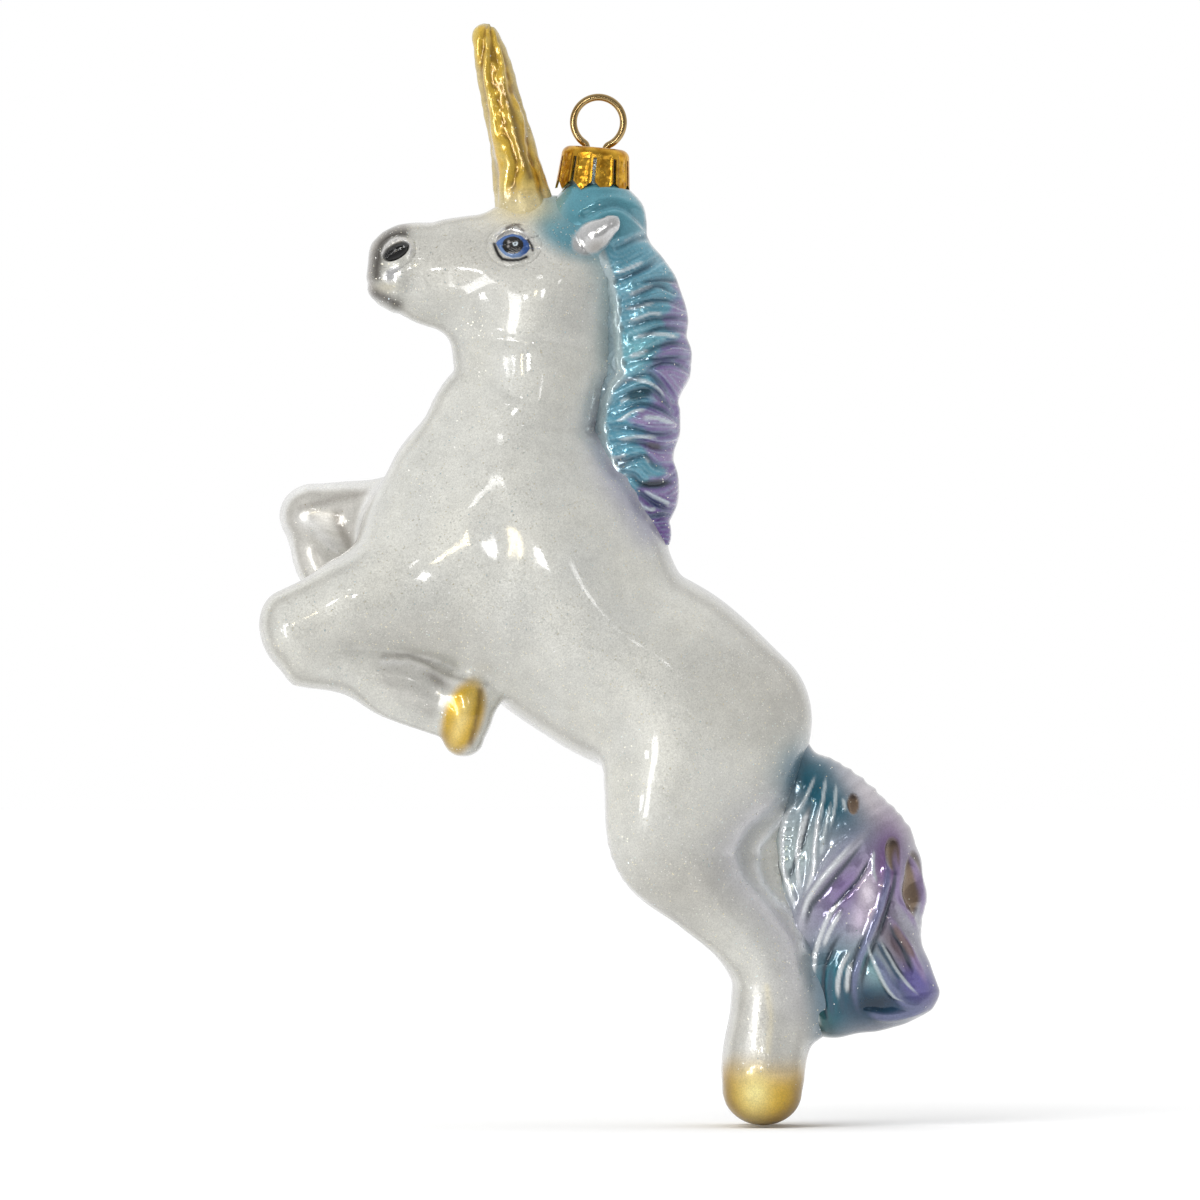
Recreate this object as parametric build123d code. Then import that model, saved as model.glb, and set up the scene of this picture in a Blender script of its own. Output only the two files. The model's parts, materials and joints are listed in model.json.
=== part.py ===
from build123d import *

import math
import os
from dataclasses import dataclass

# Hanging ornament: a rearing unicorn blown in one hollow piece of glass, a stamped crown cap pushed over its cut
# neck, and one spring wire whose loop stands above the cap and whose two legs go down through it into the neck.
# Millimetres, +Z up. The figure faces -X, its near side is -Y, and the origin is the centre of the hanging loop.

# Driving sizes of the glass figure
FIGURE_HEIGHT = 154.0  # horn tip to sole of the hind hooves
GLASS_WALL = 1.0
TRUNK_DEPTH = 29.0  # widest point of the barrel, side to side
HEAD_DEPTH = 14.0
HORN_DEPTH = 8.0
MANE_DEPTH = 13.5
TAIL_DEPTH = 15.0
WEB_DEPTH = 7.5  # between tail and hind legs
FORELEG_DEPTH = 9.6
HINDLEG_DEPTH = 13.0
EAR_DEPTH = 3.2
FORELEG_SIDE = 8.2  # from the middle plane to a foreleg's own middle
HINDLEG_SIDE = 5.6
EAR_SIDE = 5.6

# Driving sizes of the cut glass neck
NECK_DIAMETER = 8.4  # outside, at the rim
NECK_WALL = 0.8
NECK_RIM_FLAT = 0.1  # flat left at the top of the fire-polished rim
NECK_LENGTH = 8.2  # rim to the root that is buried in the poll
BORE_PAST_LEGS = 0.8

# Driving sizes of the stamped cap
CAP_SHEET = 0.3
CAP_HEIGHT = 6.2  # top of the dome to the petal tips
CAP_CLEARANCE = 0.25  # between the skirt and the glass
CAP_FLARE = 0.5  # gain in radius from dome to petal tips, the same on the glass neck
PETAL_COUNT = 10
PETAL_SLIT = 0.5  # width of the slit between two petals
PETAL_LENGTH = 4.7
PETAL_POINT = 1.3  # height of each petal's pointed end
WIRE_HOLE_CLEARANCE = 0.14

# Driving sizes of the hanger wire
WIRE_DIAMETER = 1.0
LOOP_DIAMETER = 7.0  # at the middle of the wire
LOOP_STAND = 3.6  # loop centre to the top of the cap
LOOP_GAP_ANGLE = 60.0  # open part of the loop, at its bottom
BEND_RADIUS = 0.8
LEG_REACH = 11.0  # cap top to the tips of the legs
LEG_SPLAY = 3.0  # degrees

# The cap and the wire lean with the glass neck, towards the tail
FITTING_LEAN = 5.0  # degrees
CUT_OVERRUN = 2.0

# Pixel coordinates read from the photograph, x to the right and y down
HORN_TIP_PX = (483, 25)
HOOF_SOLE_PX = (757, 1126)
NECK_RIM_PX = (596, 150)

# Each spine is a list of stations (x, y, half width across the spine), in pixels
TRUNK_SPINE_PX = [
    (715, 735, 98),
    (660, 690, 110),
    (615, 654, 109),
    (573, 612, 115),
    (540, 560, 122),
    (517, 505, 123),
    (511, 428, 94),
    (527, 390, 80),
    (535, 355, 83),
    (549, 315, 70),
    (566, 275, 56),
    (580, 240, 44),
]
TRUNK_DEPTH_SHARES = [0.9, 0.98, 1.0, 0.99, 0.95, 0.86, 0.7, 0.64, 0.6, 0.57, 0.52, 0.46]
TRUNK_ROUND_PX = (86, 24)

HEAD_SPINE_PX = [
    (588, 252, 38),
    (552, 268, 62),
    (512, 278, 68),
    (472, 277, 60),
    (437, 275, 54),
    (412, 268, 46),
    (395, 267, 41),
    (380, 270, 33),
]
HEAD_DEPTH_SHARES = [0.72, 0.94, 1.0, 0.9, 0.76, 0.68, 0.66, 0.54]
HEAD_ROUND_PX = (14, 14)

HORN_SPINE_PX = [(527, 214, 32), (519, 180, 26), (510, 140, 22), (501, 100, 18), (493, 62, 15), (488, 40, 12)]
HORN_DEPTH_SHARES = [1.12, 0.91, 0.77, 0.63, 0.53, 0.42]
HORN_ROUND_PX = (10, 15)

# The poll carries the cut neck
POLL_SPINE_PX = [(588, 264, 42), (592, 236, 45), (596, 214, 41)]
POLL_DEPTH_SHARES = [0.86, 0.96, 0.9]
POLL_ROUND_PX = (20, 20)

MANE_SPINE_PX = [
    (604, 230, 34),
    (622, 246, 38),
    (634, 268, 40),
    (640, 296, 45),
    (643, 324, 45),
    (646, 358, 47),
    (637, 392, 40),
    (632, 424, 47),
    (635, 455, 42),
    (646, 485, 36),
    (655, 508, 24),
]
MANE_DEPTH_SHARES = [0.84, 0.9, 0.9, 0.98, 0.92, 1.0, 0.88, 0.96, 0.88, 0.8, 0.58]
MANE_ROUND_PX = (20, 26)

TAIL_SPINE_PX = [
    (772, 738, 34),
    (799, 768, 37),
    (822, 806, 53),
    (844, 850, 72),
    (857, 902, 67),
    (864, 950, 57),
    (873, 984, 63),
    (872, 1003, 56),
]
TAIL_DEPTH_SHARES = [0.6, 0.75, 0.88, 1.0, 0.98, 0.9, 0.8, 0.62]
TAIL_ROUND_PX = (20, 22)

# Thin glass joins the tail to the thighs and the hind legs
WEB_SPINE_PX = [(745, 800, 56), (752, 850, 60), (772, 905, 52), (790, 958, 42), (801, 1002, 36)]
WEB_DEPTH_SHARES = [1.0, 1.0, 1.0, 0.95, 0.85]
WEB_ROUND_PX = (40, 34)

HINDLEG_SPINE_PX = [
    (702, 738, 92),
    (680, 798, 75),
    (668, 848, 59),
    (703, 893, 45),
    (742, 935, 38),
    (765, 972, 36),
    (766, 1010, 34),
    (765, 1050, 39),
    (763, 1082, 40),
    (760, 1100, 36),
]
HINDLEG_DEPTH_SHARES = [1.0, 1.02, 0.98, 0.9, 0.82, 0.78, 0.76, 0.8, 0.86, 0.8]
HINDLEG_SIDE_SHARES = [1.2, 1.14, 1.05, 0.95, 0.88, 0.84, 0.82, 0.84, 0.88, 0.88]
HINDLEG_ROUND_PX = (60, 26)

# The near foreleg is folded low, the far one higher
NEAR_FOREARM_SPINE_PX = [(505, 612, 76), (450, 606, 60), (400, 607, 50), (345, 613, 46), (302, 629, 43)]
NEAR_CANNON_SPINE_PX = [(318, 648, 26), (352, 668, 28), (390, 680, 34), (421, 690, 33), (444, 699, 28)]
NEAR_HOOF_SPINE_PX = [(458, 692, 25), (463, 712, 26), (463, 734, 21)]
FAR_FOREARM_SPINE_PX = [(470, 527, 62), (412, 526, 51), (352, 520, 41), (314, 516, 33)]
FAR_CANNON_SPINE_PX = [(318, 536, 22), (330, 566, 25), (353, 602, 23), (380, 626, 19)]
FAR_HOOF_SPINE_PX = [(388, 616, 22), (397, 638, 24), (401, 660, 19)]
FOREARM_DEPTH_SHARES = [1.3, 1.15, 1.0, 0.92, 0.88]
FOREARM_SIDE_SHARES = [0.72, 0.88, 0.98, 1.04, 1.06]
CANNON_DEPTH_SHARES = [0.66, 0.7, 0.7, 0.64, 0.56]
CANNON_SIDE_SHARES = [1.06, 1.06, 1.05, 1.04, 1.03]
HOOF_DEPTH_SHARES = [0.76, 0.82, 0.7]
HOOF_SIDE_SHARES = [1.03, 1.03, 1.03]
FOREARM_ROUND_PX = (40, 36)
CANNON_ROUND_PX = (20, 22)
HOOF_ROUND_PX = (16, 20)

EAR_SPINE_PX = [(580, 243, 11), (594, 236, 12), (607, 227, 8)]
EAR_DEPTH_SHARES = [0.9, 1.0, 0.7]
EAR_SIDE_SHARES = [0.95, 1.12, 1.25]
EAR_ROUND_PX = (8, 12)

# A section is a smooth oval through this many points, and a rounded end has sections at these angles up to its pole
SECTION_POINTS = 8
ROUND_END_ANGLES = (40, 70, 86)

# Sizes worked out from the ones above
MM_PER_PX = FIGURE_HEIGHT / (HOOF_SOLE_PX[1] - HORN_TIP_PX[1])
NECK_RADIUS = NECK_DIAMETER / 2
BORE_RADIUS = NECK_RADIUS - NECK_WALL
RIM_ROUND = NECK_WALL - NECK_RIM_FLAT
CAP_TOP_Z = -LOOP_STAND
RIM_Z = CAP_TOP_Z - CAP_SHEET
CAP_BOTTOM_Z = CAP_TOP_Z - CAP_HEIGHT
CAP_RADIUS = NECK_RADIUS + CAP_CLEARANCE + CAP_SHEET
CAP_SHOULDER = RIM_ROUND + CAP_CLEARANCE + CAP_SHEET
TAPER = CAP_FLARE / CAP_HEIGHT  # gain in radius per length, shared by neck and skirt
WIRE_RADIUS = WIRE_DIAMETER / 2
LOOP_RADIUS = LOOP_DIAMETER / 2
LEG_TIP_Z = CAP_TOP_Z - LEG_REACH
BORE_BOTTOM_Z = LEG_TIP_Z - BORE_PAST_LEGS

FITTING = Location((0, 0, 0), (0, FITTING_LEAN, 0))
RIM_POINT = (FITTING * Location((0, 0, RIM_Z))).position


@dataclass
class Limb:
    """One swelling stretch of the figure: a spine of stations, each with an elliptical section across it."""

    spine_px: list
    depth: float
    depth_shares: list
    round_px: tuple
    side: float = 0.0
    side_shares: list = None
    hollow: bool = True


def at(x_px, y_px, side=0.0):
    """The point of the figure that the photograph shows at a pixel, at a distance from the middle plane."""
    across = (x_px - NECK_RIM_PX[0]) * MM_PER_PX
    down = (y_px - NECK_RIM_PX[1]) * MM_PER_PX
    return Vector(RIM_POINT.X + across, side, RIM_POINT.Z - down)


def section(centre, along, half_width, half_depth):
    """An oval across a spine. Its seam is on the same side at every station, so that a loft doesn't twist."""
    turns = [2 * math.pi * k / SECTION_POINTS for k in range(SECTION_POINTS)]
    oval = Spline(*[(half_depth * math.cos(turn), half_width * math.sin(turn)) for turn in turns], periodic=True)
    return Plane(origin=centre, x_dir=(0, 1, 0), z_dir=along) * make_face(oval)


def limb_solid(limb, inset=0.0):
    """The limb's loft with both ends rounded. An inset gives the same limb drawn in by a wall."""
    sides = limb.side_shares or [0.0] * len(limb.spine_px)
    centres = [at(x, y, limb.side * share) for (x, y, _), share in zip(limb.spine_px, sides)]
    widths = [half * MM_PER_PX - inset for _, _, half in limb.spine_px]
    depths = [limb.depth * share / 2 - inset for share in limb.depth_shares]
    last = len(centres) - 1
    alongs = [(centres[min(i + 1, last)] - centres[max(i - 1, 0)]).normalized() for i in range(last + 1)]
    start_round, end_round = (length * MM_PER_PX - inset for length in limb.round_px)

    def rounded(i, outward, length):
        for angle in ROUND_END_ANGLES:
            rise, shrink = math.sin(math.radians(angle)), math.cos(math.radians(angle))
            yield section(centres[i] + outward * length * rise, alongs[i], widths[i] * shrink, depths[i] * shrink)

    sections = list(rounded(0, -alongs[0], start_round))[::-1]
    sections += [section(*station) for station in zip(centres, alongs, widths, depths)]
    sections += list(rounded(last, alongs[last], end_round))
    return loft(sections)


def figure_limbs():
    """Every limb. The hind legs and the ears are pairs, the forelegs are folded each its own way.

    The front hooves and the ears are solid glass, the rest is blown hollow.
    """
    limbs = [
        Limb(TRUNK_SPINE_PX, TRUNK_DEPTH, TRUNK_DEPTH_SHARES, TRUNK_ROUND_PX),
        Limb(HEAD_SPINE_PX, HEAD_DEPTH, HEAD_DEPTH_SHARES, HEAD_ROUND_PX),
        Limb(HORN_SPINE_PX, HORN_DEPTH, HORN_DEPTH_SHARES, HORN_ROUND_PX),
        Limb(POLL_SPINE_PX, MANE_DEPTH, POLL_DEPTH_SHARES, POLL_ROUND_PX),
        Limb(MANE_SPINE_PX, MANE_DEPTH, MANE_DEPTH_SHARES, MANE_ROUND_PX),
        Limb(TAIL_SPINE_PX, TAIL_DEPTH, TAIL_DEPTH_SHARES, TAIL_ROUND_PX),
        Limb(WEB_SPINE_PX, WEB_DEPTH, WEB_DEPTH_SHARES, WEB_ROUND_PX),
    ]
    for side in (-HINDLEG_SIDE, HINDLEG_SIDE):
        limbs.append(
            Limb(HINDLEG_SPINE_PX, HINDLEG_DEPTH, HINDLEG_DEPTH_SHARES, HINDLEG_ROUND_PX, side, HINDLEG_SIDE_SHARES)
        )
    forelegs = (
        (-FORELEG_SIDE, NEAR_FOREARM_SPINE_PX, NEAR_CANNON_SPINE_PX, NEAR_HOOF_SPINE_PX),
        (FORELEG_SIDE, FAR_FOREARM_SPINE_PX, FAR_CANNON_SPINE_PX, FAR_HOOF_SPINE_PX),
    )
    for side, forearm_px, cannon_px, hoof_px in forelegs:
        limbs += [
            Limb(forearm_px, FORELEG_DEPTH, FOREARM_DEPTH_SHARES, FOREARM_ROUND_PX, side, FOREARM_SIDE_SHARES),
            Limb(cannon_px, FORELEG_DEPTH, CANNON_DEPTH_SHARES, CANNON_ROUND_PX, side, CANNON_SIDE_SHARES),
            Limb(hoof_px, FORELEG_DEPTH, HOOF_DEPTH_SHARES, HOOF_ROUND_PX, side, HOOF_SIDE_SHARES, False),
        ]
    for side in (-EAR_SIDE, EAR_SIDE):
        limbs.append(Limb(EAR_SPINE_PX, EAR_DEPTH, EAR_DEPTH_SHARES, EAR_ROUND_PX, side, EAR_SIDE_SHARES, False))
    return limbs


def glass_neck():
    """The tapered neck that the cap covers, with a fire-polished rim."""
    root_z = RIM_Z - NECK_LENGTH
    root_radius = NECK_RADIUS + TAPER * NECK_LENGTH
    flat_radius, round_z = NECK_RADIUS - RIM_ROUND, RIM_Z - RIM_ROUND
    profile = make_face(
        Polyline((flat_radius, RIM_Z), (0, RIM_Z), (0, root_z), (root_radius, root_z), (NECK_RADIUS, round_z))
        + RadiusArc((flat_radius, RIM_Z), (NECK_RADIUS, round_z), RIM_ROUND)
    )
    return FITTING * revolve(Plane.XZ * profile, Axis.Z)


def neck_bore():
    """The bore from the rim down into the head, deep enough for the hanger's legs."""
    top_z = RIM_Z + CUT_OVERRUN
    bore = Cylinder(BORE_RADIUS, top_z - BORE_BOTTOM_Z, align=(Align.CENTER, Align.CENTER, Align.MIN))
    return FITTING * Location((0, 0, BORE_BOTTOM_Z)) * bore


def glass_figure():
    """The hollow figure: all limbs blown together, less the same limbs drawn in by the wall and the neck's bore."""
    limbs = figure_limbs()
    outer = glass_neck().fuse(*[limb_solid(limb) for limb in limbs])
    cavities = [limb_solid(limb, GLASS_WALL) for limb in limbs if limb.hollow]
    return outer.cut(neck_bore(), *cavities)


def cap_form(inset):
    """The cap's outside as one solid of revolution. An inset gives its inside, open past the petal tips."""
    top_z, shoulder = CAP_TOP_Z - inset, CAP_SHOULDER - inset
    bottom_z = CAP_BOTTOM_Z - (CUT_OVERRUN if inset else 0)
    side_radius = CAP_RADIUS - inset
    rim_radius = side_radius + TAPER * (CAP_TOP_Z - bottom_z)
    flat_radius = side_radius - shoulder
    profile = make_face(
        Polyline((flat_radius, top_z), (0, top_z), (0, bottom_z), (rim_radius, bottom_z), (side_radius, top_z - shoulder))
        + RadiusArc((flat_radius, top_z), (side_radius, top_z - shoulder), shoulder)
    )
    return revolve(Plane.XZ * profile, Axis.Z)


def petal_gap():
    """The gap between two petals: a slit that opens into a notch, so that both petals end in points."""
    widest = CAP_RADIUS + CAP_FLARE
    half_pitch = widest * math.tan(math.pi / PETAL_COUNT)
    half_slit = PETAL_SLIT / 2
    slit_top, notch_top = CAP_BOTTOM_Z + PETAL_LENGTH, CAP_BOTTOM_Z + PETAL_POINT
    right_edge = [(half_slit, slit_top), (half_slit, notch_top), (half_pitch, CAP_BOTTOM_Z)]
    left_edge = [(-x, z) for x, z in reversed(right_edge)]
    outline = make_face(Polyline(*right_edge, *left_edge, close=True))
    return extrude(Plane.XZ * outline, amount=-(widest + CUT_OVERRUN))


def hanger_path():
    """The wire's middle line: a leg, a tight bend, the loop, and the same again mirrored."""
    half_gap = math.radians(LOOP_GAP_ANGLE / 2)
    join = Vector(LOOP_RADIUS * math.sin(half_gap), -LOOP_RADIUS * math.cos(half_gap))
    bend_centre = join + Vector(math.sin(half_gap), -math.cos(half_gap)) * BEND_RADIUS
    splay = math.radians(LEG_SPLAY)
    leg_top = bend_centre - Vector(math.cos(splay), math.sin(splay)) * BEND_RADIUS
    leg_run = leg_top.Y - LEG_TIP_Z
    leg_tip = leg_top + Vector(math.tan(splay), -1) * leg_run
    mirrored = [Vector(-p.X, p.Y) for p in (leg_tip, leg_top, join)]
    right_bend = RadiusArc(leg_top, join, BEND_RADIUS)
    left_bend = RadiusArc(mirrored[2], mirrored[1], BEND_RADIUS)
    loop = ThreePointArc(join, (0, LOOP_RADIUS), mirrored[2])
    path = Line(leg_tip, leg_top) + right_bend + loop + left_bend + Line(mirrored[1], mirrored[0])
    return leg_top, path


def hanger_wire():
    """One round wire swept along its middle line."""
    _, path = hanger_path()
    upright = Plane.XZ * path
    start = upright.wires()[0]
    profile = Plane(origin=start @ 0, z_dir=start % 0) * Circle(WIRE_RADIUS)
    return FITTING * sweep(profile, path=start)


def crown_cap():
    """The stamped cap: a thin shell cut into petals, with two holes for the wire's legs."""
    leg_top, _ = hanger_path()
    cap = cap_form(0) - cap_form(CAP_SHEET)
    for location in PolarLocations(0, PETAL_COUNT):
        cap -= location * petal_gap()
    hole = Cylinder(WIRE_RADIUS + WIRE_HOLE_CLEARANCE, CUT_OVERRUN * 2)
    for x in (-leg_top.X, leg_top.X):
        cap -= Location((x, 0, CAP_TOP_Z)) * hole
    return FITTING * cap


def main():
    os.makedirs("parts", exist_ok=True)
    pieces = {"glass_figure": glass_figure(), "crown_cap": crown_cap(), "hanger_wire": hanger_wire()}
    for name, piece in pieces.items():
        export_step(piece, f"parts/{name}.step")
        print(name, "solids", len(piece.solids()), "volume", piece.volume)


main()
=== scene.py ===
"""Looks of the blown-glass unicorn ornament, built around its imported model.

The figure is modelled as signed distances: limbs are chains of oval sections joined by smooth minima, and the
locks of mane and tail, the horn's ridges and the face are raised on them. Places are given in pixels of a
1200 x 1200 picture, x to the right and y down, and turned into millimetres in the part's frame.
"""
import json
import math

import bpy  # noqa: E402
import numpy as np  # noqa: E402
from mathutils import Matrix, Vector  # noqa: E402

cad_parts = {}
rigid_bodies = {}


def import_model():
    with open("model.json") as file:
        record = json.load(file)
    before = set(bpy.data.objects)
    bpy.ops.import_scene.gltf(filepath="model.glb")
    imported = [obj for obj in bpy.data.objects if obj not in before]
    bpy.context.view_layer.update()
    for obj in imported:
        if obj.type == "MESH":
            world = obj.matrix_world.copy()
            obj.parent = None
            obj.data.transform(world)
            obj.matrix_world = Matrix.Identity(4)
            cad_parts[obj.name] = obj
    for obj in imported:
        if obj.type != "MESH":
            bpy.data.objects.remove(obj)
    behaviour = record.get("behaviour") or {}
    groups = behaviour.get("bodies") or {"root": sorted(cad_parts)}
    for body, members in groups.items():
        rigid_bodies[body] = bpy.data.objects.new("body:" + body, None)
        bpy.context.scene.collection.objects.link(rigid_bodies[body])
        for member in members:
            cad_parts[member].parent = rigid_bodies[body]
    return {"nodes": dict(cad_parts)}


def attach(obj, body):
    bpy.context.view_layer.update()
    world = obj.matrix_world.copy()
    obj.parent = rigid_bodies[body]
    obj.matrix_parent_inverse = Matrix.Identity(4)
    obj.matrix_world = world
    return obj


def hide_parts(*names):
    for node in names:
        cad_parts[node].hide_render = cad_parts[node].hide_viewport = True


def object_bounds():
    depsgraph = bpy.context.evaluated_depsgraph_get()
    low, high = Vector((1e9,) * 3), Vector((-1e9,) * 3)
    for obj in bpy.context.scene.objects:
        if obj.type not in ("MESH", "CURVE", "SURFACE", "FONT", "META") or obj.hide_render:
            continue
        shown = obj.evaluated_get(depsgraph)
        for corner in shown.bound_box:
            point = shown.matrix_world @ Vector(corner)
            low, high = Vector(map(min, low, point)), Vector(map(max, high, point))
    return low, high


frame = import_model()
cad_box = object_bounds()

MM = 0.001
PICTURE_PX = 1200
FIGURE_HEIGHT, FIGURE_HEIGHT_PX = 154.0, 1101.0
MM_PER_PX = FIGURE_HEIGHT / FIGURE_HEIGHT_PX
LEAN = math.radians(5.0)
RIM_PX = np.array([596.0, 150.0])
RIM_DOWN = 3.9
RIM = RIM_DOWN * np.array([-math.sin(LEAN), -math.cos(LEAN)])
NECK_RADIUS, NECK_BORE, BORE_DEPTH = 4.2, 3.4, 14.0
PETALS = 10


def to_mm(xy_px):
    """Picture places to (x, z) in millimetres."""
    xy = np.asarray(xy_px, float)
    return RIM + (xy - RIM_PX) * (MM_PER_PX, -MM_PER_PX)


def to_px(points):
    """Points in millimetres to picture places."""
    return RIM_PX + (points[:, [0, 2]] - RIM) / (MM_PER_PX, -MM_PER_PX)


def srgb(r, g, b):
    """An 8-bit colour as linear light."""
    c = np.array([r, g, b]) / 255.0
    return np.where(c <= 0.04045, c / 12.92, ((c + 0.055) / 1.055) ** 2.4)


def step(x, lo, hi):
    """Smooth step from 0 at lo to 1 at hi."""
    t = np.clip((x - lo) / (hi - lo), 0, 1)
    return t * t * (3 - 2 * t)


def smin(a, b, k):
    """Smooth minimum, rounded over a distance k."""
    h = np.maximum(k - np.abs(a - b), 0) / k
    return np.minimum(a, b) - h * h * k * 0.25


def curve(rows, per_gap):
    """Points of a Catmull-Rom curve through rows of values."""
    v = np.asarray(rows, float)
    v = np.vstack([2 * v[0] - v[1], v, 2 * v[-1] - v[-2]])
    out = []
    for p0, p1, p2, p3 in zip(v, v[1:], v[2:], v[3:]):
        for t in np.arange(per_gap) / per_gap:
            out.append(0.5 * (2 * p1 + (p2 - p0) * t + (2 * p0 - 5 * p1 + 4 * p2 - p3) * t * t
                              + (3 * p1 - p0 - 3 * p2 + p3) * t ** 3))
    out.append(v[-2])
    return np.array(out)


def to_line(xy, line):
    """Distance in pixels from places to a polyline, and the share of its length at the nearest point."""
    line = np.asarray(line, float)
    pieces = np.diff(line, axis=0)
    lengths = np.hypot(*pieces.T)
    best, share, before = np.full(len(xy), 1e6), np.zeros(len(xy)), 0.0
    for a, s, length in zip(line, pieces, lengths):
        t = np.clip(((xy - a) @ s) / length ** 2, 0, 1)
        d = np.hypot(*(xy - a - t[:, None] * s).T)
        closer = d < best
        best = np.where(closer, d, best)
        share = np.where(closer, (before + t * length) / lengths.sum(), share)
        before += length
    return best, share


def oval(xy, centre, radii, tilt=0.0):
    """Distance from an oval's centre, 1 on the oval; tilt in degrees, rising to the right."""
    c, s = math.cos(math.radians(tilt)), math.sin(math.radians(tilt))
    dx, dy = xy[:, 0] - centre[0], xy[:, 1] - centre[1]
    return np.hypot((dx * c - dy * s) / radii[0], (dx * s + dy * c) / radii[1])


def fade(t, start=None, end=None):
    """1 along a line, but rising from its beginning to the share start and falling after the share end."""
    rise = 1 if start is None else step(t, 0, start)
    return rise if end is None else rise * step(t, 1, end)


def bell(r, width=1.0):
    """1 at 0, fading to both sides."""
    return np.exp(-(r / width) ** 2)


def ripple(p, scale, seed):
    """Smooth noise about 0, from a few sine waves in seeded directions."""
    rng = np.random.default_rng(seed)
    total = np.zeros(len(p))
    for _ in range(7):
        direction = rng.normal(size=p.shape[1])
        direction *= rng.uniform(0.6, 1.6) / (np.linalg.norm(direction) * scale)
        total += np.sin(p @ direction * 2 * math.pi + rng.uniform(0, 2 * math.pi))
    return total / 3.0


def strokes(xy, lines, width):
    """Raised lines: their height, tapered at both ends, and the distance in pixels to the nearest of them."""
    crest, nearest = np.zeros(len(xy)), np.full(len(xy), 1e6)
    for line in lines:
        d, t = to_line(xy, curve(line, 4))
        crest = np.maximum(crest, bell(d, width) * (0.2 + 0.8 * fade(t, 0.3, 0.7)))
        nearest = np.minimum(nearest, d)
    return crest, nearest


class Chain:
    """A limb: stations (x, y, half width) in pixels, half depths and side places in millimetres."""

    def __init__(self, spine_px, depths, ends_px, sides=0.0, blend=0.01, per_gap=5):
        spine = np.asarray(spine_px, float)
        n = len(spine)
        rows = np.column_stack([to_mm(spine[:, :2]), spine[:, 2] * MM_PER_PX, np.broadcast_to(depths, n),
                                np.broadcast_to(sides, n)])
        self.rows = curve(rows, per_gap).astype(np.float32)
        self.ends, self.blend = [e * MM_PER_PX for e in ends_px], blend
        x, z, width, depth, side = self.rows.T
        reach = width + 1.0
        reach[[0, -1]] = np.maximum(reach[[0, -1]], max(self.ends))
        middle, span = np.stack([x, side, z]), np.stack([reach, depth, reach])
        self.lo, self.hi = (middle - span).min(1), (middle + span).max(1)

    def plane(self, x, z):
        """Nearest section in the picture plane: squared share of radius, its slope, half depth, side."""
        best = np.full(x.shape, 1e9, np.float32)
        slope, depth, side = np.ones_like(best), np.ones_like(best), np.zeros_like(best)
        last = len(self.rows) - 2
        for i, (a, b) in enumerate(zip(self.rows, self.rows[1:])):
            ex, ez = b[0] - a[0], b[1] - a[1]
            length = math.hypot(ex, ez) + 1e-6
            ex, ez = ex / length, ez / length
            qx, qz = x - a[0], z - a[1]
            along = qx * ex + qz * ez
            t = np.clip(along / length, 0, 1)
            over2 = (along - t * length) ** 2
            across2 = (qx * ez - qz * ex) ** 2
            width = a[2] + t * (b[2] - a[2])
            width2, end2 = width ** 2, (0.3 * width + length) ** 2
            if i == 0:
                end2 = np.where(along < 0, self.ends[0] ** 2, end2)
            if i == last:
                end2 = np.where(along > length, self.ends[1] ** 2, end2)
            s2 = across2 / width2 + over2 / end2
            closer = s2 < best
            best = np.where(closer, s2, best)
            slope = np.where(closer, across2 / width2 ** 2 + over2 / end2 ** 2, slope)
            depth = np.where(closer, a[3] + t * (b[3] - a[3]), depth)
            side = np.where(closer, a[4] + t * (b[4] - a[4]), side)
        return best, slope, depth, side

    @staticmethod
    def distance(plane, y):
        s2, slope, depth, side = plane
        v2, d2 = (y - side) ** 2, depth ** 2
        k = np.sqrt(s2 + v2 / d2)
        return k * (k - 1) / np.sqrt(slope + v2 / d2 ** 2 + 1e-9)


def to_bore(x, y, z):
    """Distance to the bore that runs down from the neck's rim, less than 0 inside it."""
    dx, dz = x - RIM[0], z - RIM[1]
    down = -dx * math.sin(LEAN) - dz * math.cos(LEAN)
    across2 = (dx * math.cos(LEAN) - dz * math.sin(LEAN)) ** 2
    return np.maximum(np.sqrt(across2 + y * y) - NECK_BORE, down - BORE_DEPTH)


class Form:
    """Chains joined in order by smooth minima, less the bore."""

    def __init__(self, *chains):
        self.chains = chains

    def grid(self, x, y, z):
        d = np.full((len(x), len(y), len(z)), 60, np.float32)
        for chain in self.chains:
            cuts = []
            for axis, lo, hi in zip((x, y, z), chain.lo, chain.hi):
                cuts.append(slice(*np.searchsorted(axis, (lo - chain.blend - 2, hi + chain.blend + 2))))
            gx, gz = np.meshgrid(x[cuts[0]], z[cuts[2]], indexing="ij")
            plane = [a[:, None, :] for a in chain.plane(gx, gz)]
            part = d[tuple(cuts)]
            part[:] = smin(part, Chain.distance(plane, y[cuts[1]][None, :, None]), chain.blend)
        return np.maximum(d, -to_bore(x[:, None, None], y[None, :, None], z[None, None, :]))

    def at(self, p):
        p = np.asarray(p, np.float32)
        d = np.full(len(p), 60, np.float32)
        for chain in self.chains:
            pad = chain.blend + 2
            near = np.flatnonzero(((p > chain.lo - pad) & (p < chain.hi + pad)).all(1))
            if len(near):
                q = p[near]
                d[near] = smin(d[near], Chain.distance(chain.plane(q[:, 0], q[:, 2]), q[:, 1]), chain.blend)
        return np.maximum(d, -to_bore(*p.T))

    def slope(self, p, reach=0.08):
        total = np.zeros((len(p), 3))
        for corner in ((1, -1, -1), (-1, -1, 1), (-1, 1, -1), (1, 1, 1)):
            total += self.at(p + reach * np.array(corner))[:, None] * np.array(corner)
        return total / (4 * reach)


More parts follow.
